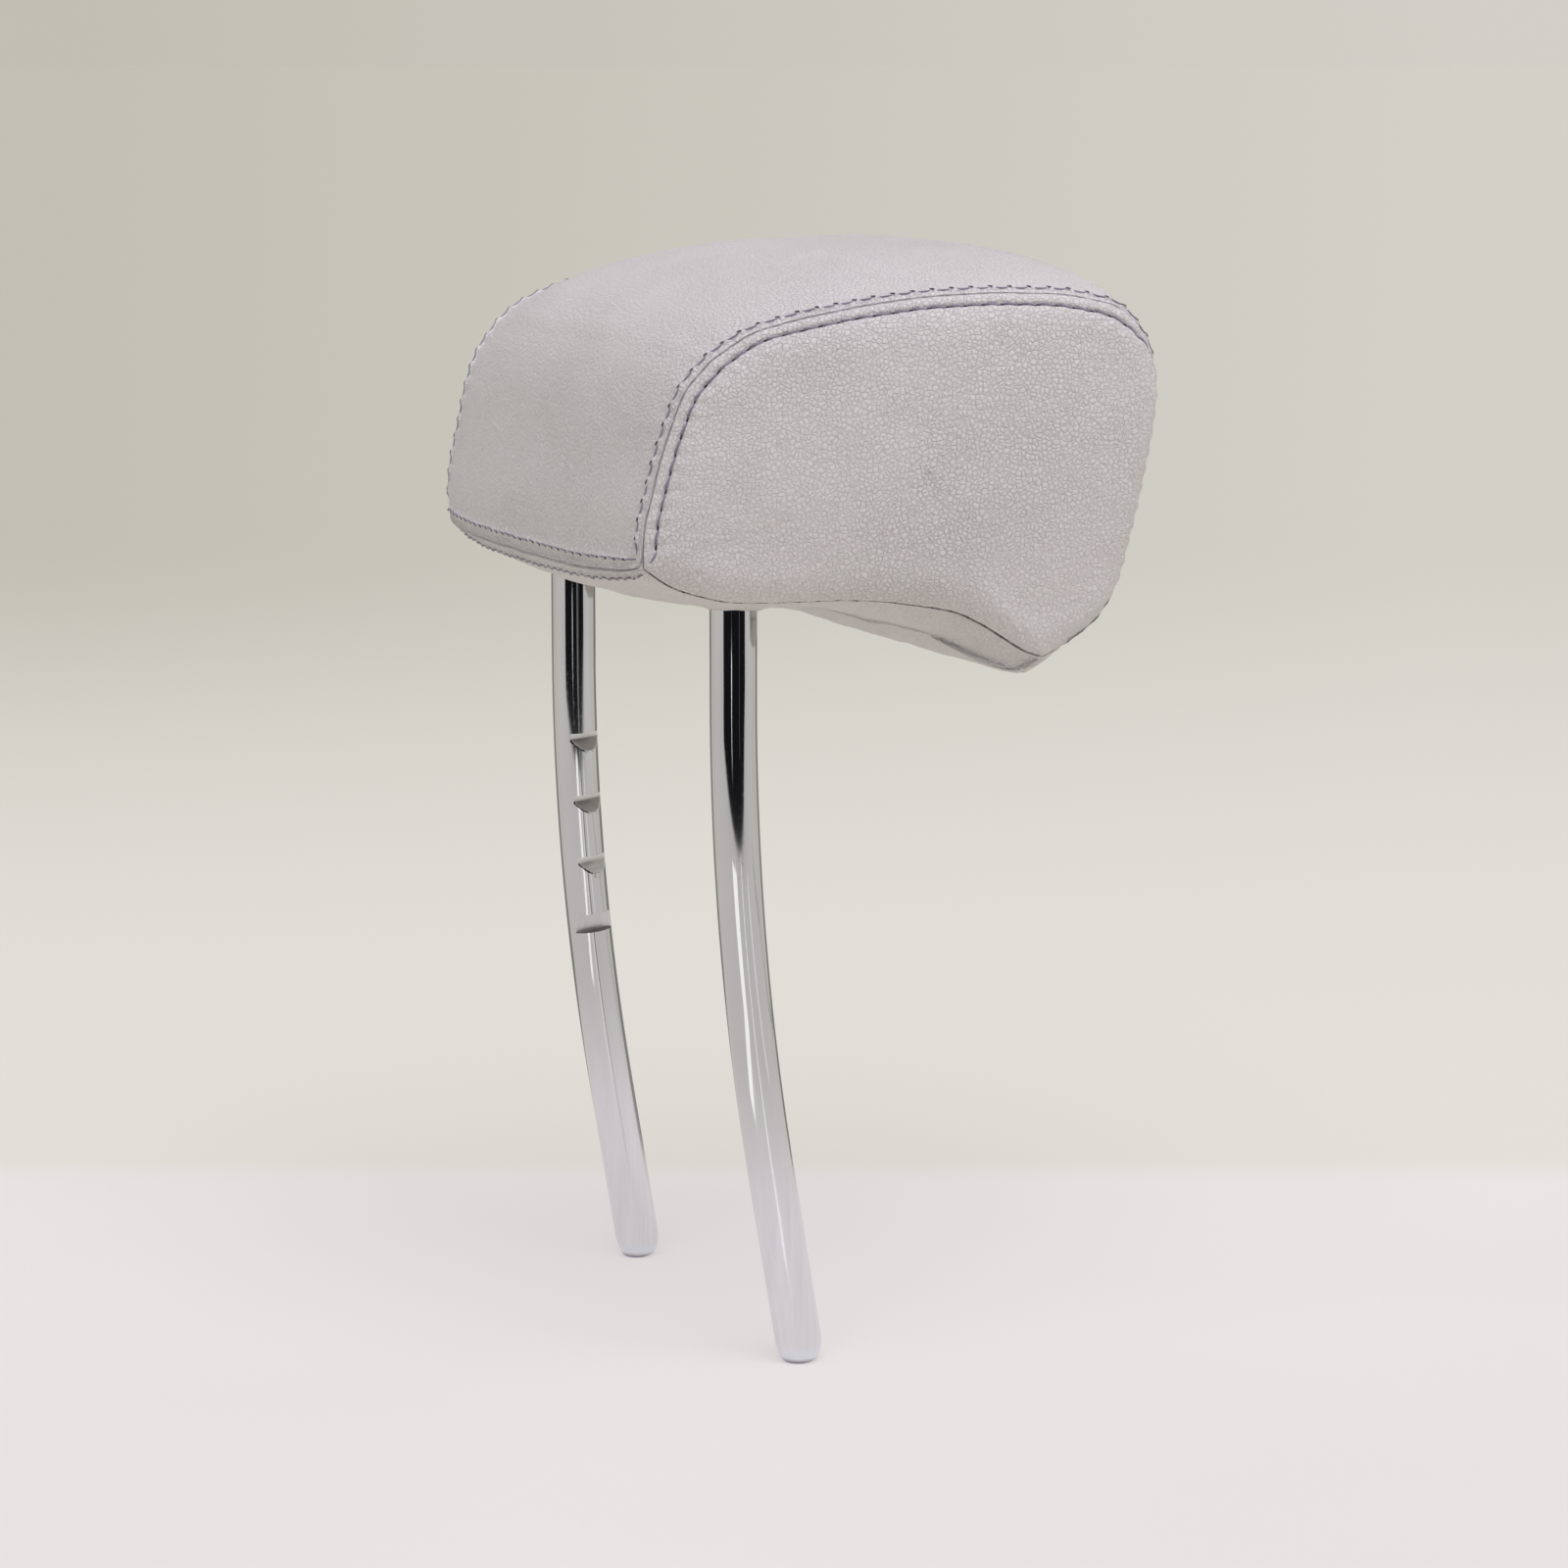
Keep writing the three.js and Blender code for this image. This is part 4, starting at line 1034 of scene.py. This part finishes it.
def build_foam():
    """The core as modelled, drawn in at the lip as far as the cover is."""
    source = NODES["foam_core"]
    mesh = source.data.copy()
    mesh.name = "foam_body"
    spots = np.array([(source.matrix_world @ v.co)[:] for v in mesh.vertices]) / MM
    t = np.linspace(WRAP_TOTAL - 65, WRAP_TOTAL + 55, 241)
    outline, n = loop_point(t), loop_normal(t)
    gap = np.linalg.norm(spots[:, None, 1:] - outline[None], axis=2)
    at = gap.argmin(1)
    v = np.clip(spots[:, 0] / half_width(spots[:, 1], spots[:, 2]), -1, 1)
    past = t[at] - WRAP_TOTAL
    # as the cover's own flattening, for the core's outer face only and fading at the sides
    drawn = (LIP_FLATTER + LIP_FLATTER_MIDDLE) * LIP_CROWN
    drawn = drawn * smoothstep(past, -62, -22) * (1 - smoothstep(past, 13, 48))
    drawn = drawn * (1 - smoothstep(gap[np.arange(len(at)), at], 20, 26))
    drawn = drawn * (1 - smoothstep(np.abs(v), 0.90, 1.0))
    spots[:, 1:] -= n[at] * drawn[:, None]
    back = source.matrix_world.inverted()
    for vertex, spot in zip(mesh.vertices, spots * MM):
        vertex.co = back @ Vector(spot)
    obj = new_object("foam_body", mesh, None)
    obj.matrix_world = source.matrix_world
    obj.data.materials.clear()
    obj.data.materials.append(foam_material())
    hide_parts("foam_core")


def leg_at(length):
    """Place (y, z) and tilt of a leg's middle line, at a length from the tip."""
    if length <= LOWER_LENGTH:
        return length * math.sin(LOWER_TILT), length * math.cos(LOWER_TILT), LOWER_TILT
    if length <= LOWER_LENGTH + BEND_LENGTH:
        turned = (length - LOWER_LENGTH) / BEND_RADIUS
        tilt, sin, cos = LOWER_TILT - turned, math.sin(LOWER_TILT), math.cos(LOWER_TILT)
        y = LOWER_LENGTH * sin + BEND_RADIUS * (math.cos(tilt) - cos)
        z = LOWER_LENGTH * cos + BEND_RADIUS * (sin - math.sin(tilt))
        return y, z, tilt
    return POST_TOP_Y, BEND_TOP_Z + length - LOWER_LENGTH - BEND_LENGTH, 0.0


def tip_radius(length):
    """The end is rounded over from the flat to the full post, a little softer than the solid's chamfer."""
    if length >= TIP_ROUND:
        return POST_RADIUS
    q = 1 - length / TIP_ROUND
    return TIP_FLAT + (POST_RADIUS - TIP_FLAT) * math.sqrt(max(1 - q * q, 0))


# Height of the floor, height of the flat, length of the ramp below it, and depth.
NOTCHES = [(STOP_HEIGHT, STOP_BAND, 0.0, STOP_DEPTH)]
NOTCHES += [(STOP_HEIGHT + FIRST_NOTCH_ABOVE_STOP + i * NOTCH_PITCH, NOTCH_BAND, NOTCH_RAMP, NOTCH_DEPTH)
            for i in range(NOTCH_COUNT)]


def build_posts():
    sides = POST_SIDES
    leg_total = LOWER_LENGTH + BEND_LENGTH + CROSS_BAR_Z - CROSS_BAR_BEND - BEND_TOP_Z
    stations = [(TIP_ROUND * (k / 10) ** 1.6, 0.0) for k in range(11)]
    plain = np.arange(TIP_ROUND + 2, leg_total, 2.0)
    for length in plain:
        if not any(base - ramp - 0.9 < length < base + band + 0.9 for base, band, ramp, _ in NOTCHES):
            stations.append((float(length), 0.0))
    for base, band, ramp, depth in NOTCHES:
        top = base + band
        stations += [(top + 0.30, 0.0), (top + 0.04, 0.0), (top - 0.04, depth), (top - 0.5, depth),
                     (base + 0.12, depth)]
        if ramp:
            stations += [(base - ramp * k / 12, depth * (1 - k / 12)) for k in range(1, 13)]
        else:
            stations += [(base + 0.04, depth), (base - 0.04, 0.0), (base - 0.30, 0.0)]
    stations.sort(key=lambda s: s[0])

    def leg_rings(sx, notched):
        rings, cut = [], []
        for length, depth in stations:
            y, z, tilt = leg_at(length)
            radius = tip_radius(length)
            axis = np.array([0, math.sin(tilt), math.cos(tilt)])
            e1 = np.array([1.0, 0, 0])
            e2 = np.cross(axis, e1)
            ring, ring_cut = [], []
            turn = STOP_TURN if length < STOP_HEIGHT + STOP_BAND + 2 else NOTCH_TURN
            cut_dir = np.array([-math.cos(turn), -math.sin(turn), 0.0])
            cd = unit(cut_dir - axis * float(cut_dir @ axis))
            for k in range(sides):
                a = 2 * math.pi * k / sides
                off = e1 * radius * math.cos(a) + e2 * radius * math.sin(a)
                over = float(off @ cd) - (POST_RADIUS - depth) if notched and depth else 0.0
                off = off - cd * max(over, 0.0)
                ring_cut.append((2 if depth in (NOTCH_DEPTH, STOP_DEPTH) else 1) if over > 0 else 0)
                ring.append(np.array([sx * HALF_SPACING, y, z]) + off)
            rings.append(ring)
            cut.append(ring_cut)
        return rings, cut

    left, left_cut = leg_rings(-1, False)
    right, right_cut = leg_rings(1, True)
    turn = []
    for side in (-1, 1):
        part = []
        for i in range(0, 17):
            a = (math.pi / 2) * i / 16
            centre = np.array([side * (HALF_SPACING - CROSS_BAR_BEND * (1 - math.cos(a))), POST_TOP_Y,
                               CROSS_BAR_Z - CROSS_BAR_BEND * (1 - math.sin(a))])
            axis = np.array([-side * math.sin(a), 0, math.cos(a)])
            e2 = np.array([0, 1.0, 0])
            e1 = np.cross(e2, axis)
            around = [2 * math.pi * k / sides for k in range(sides)]
            part.append([centre + POST_RADIUS * (e1 * math.cos(b) + e2 * math.sin(b)) for b in around])
        turn.append(part)

    def downwards(rings):
        """The far half runs back down, so its rings are matched to the same start angle."""
        return [[ring[(sides // 2 - k) % sides] for k in range(sides)] for ring in rings][::-1]

    rings = left + turn[0] + downwards(turn[1]) + downwards(right)
    cut = left_cut + [[0] * sides] * (len(turn[0]) + len(turn[1])) + downwards(right_cut)
    verts = [v * MM for ring in rings for v in ring]
    faces, milled = [], []
    for i in range(len(rings) - 1):
        for k in range(sides):
            k2 = (k + 1) % sides
            faces.append((i * sides + k, i * sides + k2, (i + 1) * sides + k2, (i + 1) * sides + k))
            one, other = min(cut[i][k], cut[i][k2]), min(cut[i + 1][k], cut[i + 1][k2])
            # 1 a ramp, 2 the flat above it, 3 a ledge
            milled.append(min(one, other) if one and other else 3 if max(one, other) == 2 else 0)
    faces.append(tuple(range(sides))[::-1])
    last = (len(rings) - 1) * sides
    faces.append(tuple(last + k for k in range(sides)))
    mesh = mesh_from("posts", verts, faces)
    mesh.set_sharp_from_angle(angle=math.radians(28))
    obj = new_object("posts", mesh, CHROME)
    # one bare steel in three greys, painted light and shade: the ramps, flats and ledges are lighter or
    # darker for how the light falls on them
    for part, *greys in (("ramp", 0.42, 0.50, 0.66), ("flat", 0.70, 0.78, 0.78), ("ledge", 0.20, 0.30, 0.30)):
        obj.data.materials.append(milled_material("milled_" + part, *greys))
    mesh.polygons.foreach_set("material_index", milled + [0, 0])
    mesh.validate()
    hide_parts("post_frame")


# The stage: the camera's place and its way in, along the floor away from it and to its right.
CAMERA_AT = Vector((-1.40201, 0.54539, 0.39678))
LOOK = Vector((0.91612621, -0.3711801, -0.1514533))
AWAY = Vector((0.92682, -0.37551, 0.0))
RIGHTWARD = Vector((-0.37551185, -0.92681759, 0.0))
LENS = 112.5
# Levels of the light, and of what the camera and the chrome see of floor and backdrop.
SUN_LEVEL = 2.92
SKY_LEVEL = 0.575
SKY_COLOR = (0.900, 0.925, 0.850, 1)
FLOOR_GLOW = 1.05
FLOOR_GLOW_SHARE = 0.7
SEEN_LEVEL = 1.11
WALL_LEFT = (0.480, 0.472, 0.412, 1)
WALL_RIGHT = (0.580, 0.562, 0.515, 1)
WEDGE = 0.14


def floor_material():
    m = Nodes("floor")
    x, y, _ = m.xyz()
    run, side = (m.math("MULTIPLY_ADD", x, way.x, m.math("MULTIPLY", y, way.y)) for way in (AWAY, RIGHTWARD))
    tone = m.noise(3.0, 2.0)
    near = m.mix(m.remap(tone, 0.3, 0.7), (0.722, 0.690, 0.694, 1), (0.744, 0.714, 0.714, 1))
    # brighter to the right, in the same wedges as the backdrop above it, and darker further off: light
    # painted on the floor and backdrop
    bright = m.remap(m.math("DIVIDE", side, m.math("ADD", run, 1.5)), -WEDGE, WEDGE)
    deep = m.mix(bright, WALL_LEFT, WALL_RIGHT)
    far = m.mix(m.remap(run, 0.2, 2.4, smooth=True), (0.690, 0.668, 0.628, 1), deep)
    base = m.mix(m.remap(run, 0.162, 0.206, smooth=True), near, far)
    seen = m.shown()
    m.set(Base_Color=m.mix(seen, (0.875, 0.846, 0.745, 1), base),
          Roughness=m.remap(tone, 0.3, 0.7, 0.85, 0.95), Specular_IOR_Level=0.0)
    # to the camera and in the chrome the floor shows most of its own pale colour, with a faint shadow
    glow = m.node("Emission", {"Color": base, "Strength": FLOOR_GLOW})
    blend = m.node("MixShader", {0: m.math("MULTIPLY", seen, FLOOR_GLOW_SHARE), 1: m.shader.outputs[0],
                                 2: glow.outputs[0]})
    m.put(m.tree.nodes["Material Output"].inputs["Surface"], blend.outputs[0])
    return m.mat


def flat_emission(name, color, strength):
    mat = bpy.data.materials.new(name)
    mat.use_nodes = True
    tree = mat.node_tree
    tree.nodes.clear()
    out = tree.nodes.new("ShaderNodeOutputMaterial")
    glow = tree.nodes.new("ShaderNodeEmission")
    glow.inputs["Color"].default_value = (*color, 1)
    glow.inputs["Strength"].default_value = strength
    tree.links.new(glow.outputs[0], out.inputs[0])
    return mat


def mirror_sheet(name, corners, material, shades=False):
    """Card that only reflections see, or one that only keeps the sky's low light off."""
    obj = new_object(name, mesh_from(name, corners, [(0, 1, 2, 3)], False), material, body=None)
    obj.visible_camera = False
    obj.visible_diffuse = shades
    obj.visible_glossy = not shades
    obj.visible_transmission = False
    obj.visible_volume_scatter = False
    obj.visible_shadow = False


def spot(toward, right, up=0.0):
    return -AWAY * toward + RIGHTWARD * right + Vector((0, 0, up))


def build_stage():
    half = 60.0
    corners = [(-half, -half, 0), (half, -half, 0), (half, half, 0), (-half, half, 0)]
    sheet = mesh_from("floor", corners, [(0, 1, 2, 3)], False)
    floor = new_object("floor", sheet, floor_material(), body=None)
    dark = flat_emission("dark_card", (0.010, 0.010, 0.013), 1.0)
    bright = flat_emission("bright_strip", (1.0, 1.0, 1.0), 1.5)
    dim = flat_emission("dim_strip", (0.95, 0.97, 1.0), 1.2)
    faint = flat_emission("faint_strip", (0.8, 0.9, 1.0), 0.16)
    grey = flat_emission("grey_strip", (0.9, 0.95, 1.0), 0.42)
    lamp = flat_emission("lamp_strip", (0.93, 0.97, 1.0), 2.2)
    ground = flat_emission("dim_ground", (1, 1, 1), 0.28)
    low_shade = "low_shade_camera_side"
    # corners in metres from the object: towards the camera's side, to the right, and up
    cards = (
        # where a dark room begins in front of the table, as the posts mirror it
        ("dark_card_camera_side", dark, (0.87, -0.88), (0.87, 1.34), (0.87, 1.34, 1.4), (0.87, -0.88, 1.4)),
        (low_shade, dark, (1.0, -1.6), (1.0, 1.6), (1.0, 1.6, 0.58), (1.0, -1.6, 0.58)),
        ("strip_high_left", lamp, (0.85, -0.102, 0.045), (0.85, -0.098, 0.045), (0.85, -0.084, 0.12),
         (0.85, -0.116, 0.12)),
        ("strip_high_right", faint, (0.85, 0.44, 0.05), (0.85, 0.47, 0.05), (0.85, 0.47, 0.5),
         (0.85, 0.44, 0.5)),
        # wedges of glare on the table, seen by the lower legs
        ("glare_right", bright, (0.15, 0.023, 0.001), (0.15, 0.030, 0.001), (0.85, 0.253, 0.001),
         (0.85, 0.222, 0.001)),
        ("glare_left", dim, (0.28, -0.060, 0.001), (0.28, -0.054, 0.001), (0.78, -0.128, 0.001),
         (0.78, -0.142, 0.001)),
        # the same for the notched leg, hung where the other leg doesn't mirror them
        ("glare_far_high", bright, (0.20, -0.052, 0.125), (0.20, -0.006, 0.125), (0.20, -0.008, 0.066),
         (0.20, -0.046, 0.066)),
        ("glare_far_low", bright, (0.20, -0.046, 0.066), (0.20, -0.008, 0.066), (0.20, -0.070, 0.014),
         (0.20, -0.108, 0.014)),
        ("glare_far_right", dim, (0.290, 0.208, 0.099), (0.290, 0.240, 0.099), (0.139, 0.138, 0.066),
         (0.139, 0.120, 0.066)),
        # the table's right edge, a thin dark line along the lower legs
        ("table_edge_right", grey, (0.283, 1.055, 0.001), (0.283, 1.100, 0.001), (-0.104, 1.040, 0.001),
         (-0.104, 0.995, 0.001)),
        ("table_edge_rear", grey, (-0.104, 0.995, 0.001), (-0.104, 1.040, 0.001), (-0.620, 0.410, 0.001),
         (-0.590, 0.385, 0.001)),
        ("dark_card_far_side", dark, (-1.6, -0.45), (-1.6, 0.45), (-1.6, 0.45, 1.0), (-1.6, -0.45, 1.0)),
        # the darker ground behind, a thin line along both edges of each leg
        ("dim_ground_far_side", ground, (-0.25, -0.32, 0.001), (-0.25, 0.32, 0.001), (-3.0, 2.9, 0.001),
         (-3.0, -2.9, 0.001)),
    )
    for name, finish, *corners in cards:
        mirror_sheet(name, [spot(*corner) for corner in corners], finish, shades=name == low_shade)

    world = bpy.data.worlds.new("studio")
    bpy.context.scene.world = world
    w = Nodes("studio", world, "Generated")
    sky = w.tree.nodes["Background"]
    w.put(sky.inputs[0], SKY_COLOR)
    w.put(sky.inputs[1], SKY_LEVEL)
    # above the floor's far edge the camera and the chrome see the backdrop's colour, with light painted on it
    # brighter to the right
    side, run = (w.node("VectorMath", {0: w.coords, 1: way}, operation="DOT_PRODUCT").outputs["Value"]
                 for way in (RIGHTWARD, AWAY))
    wall = w.mix(w.remap(w.math("DIVIDE", side, run), -WEDGE, WEDGE), WALL_LEFT, WALL_RIGHT)
    seen = w.node("Background", {0: wall, 1: SEEN_LEVEL})
    blend = w.node("MixShader", {0: w.shown(), 1: sky.outputs[0], 2: seen.outputs[0]})
    w.put(w.tree.nodes["World Output"].inputs["Surface"], blend.outputs[0])

    sun = bpy.data.lights.new("soft_key", "SUN")
    sun.energy = SUN_LEVEL
    sun.angle = math.radians(60)
    sun.color = (1.0, 0.968, 1.0)
    light = linked("soft_key", sun)
    toward_light = (Vector((0, 0, 1)) * 0.87 - AWAY * 0.54 + RIGHTWARD * 0.14).normalized()
    light.rotation_euler = toward_light.to_track_quat("Z", "Y").to_euler()


def build_camera():
    data = bpy.data.cameras.new("camera")
    data.lens = LENS
    data.sensor_width = 36.0
    data.clip_start = 0.05
    data.clip_end = 60.0
    cam = linked("camera", data)
    right = LOOK.cross(Vector((0, 0, 1))).normalized()
    up = right.cross(LOOK).normalized()
    rot = Matrix((right, up, -LOOK)).transposed()
    cam.matrix_world = Matrix.Translation(CAMERA_AT) @ rot.to_4x4()
    bpy.context.scene.camera = cam


def dress_hidden_nodes():
    foam, plastic, zinc = foam_material(), plastic_material(), zinc_material()
    for name, obj in NODES.items():
        if name.startswith("foam"):
            finish = foam
        elif name.startswith("carrier_screw"):
            finish = zinc
        elif name.startswith(("carrier", "closure")):
            finish = plastic
        elif name == "post_frame":
            finish = CHROME
        else:
            finish = LEATHER
        for slot in obj.material_slots:
            slot.material = finish
        if not obj.material_slots:
            obj.data.materials.append(finish)


build_camera()
build_pad()
build_posts()
build_foam()
dress_hidden_nodes()
build_stage()

bpy.context.scene.view_settings.view_transform = "Standard"
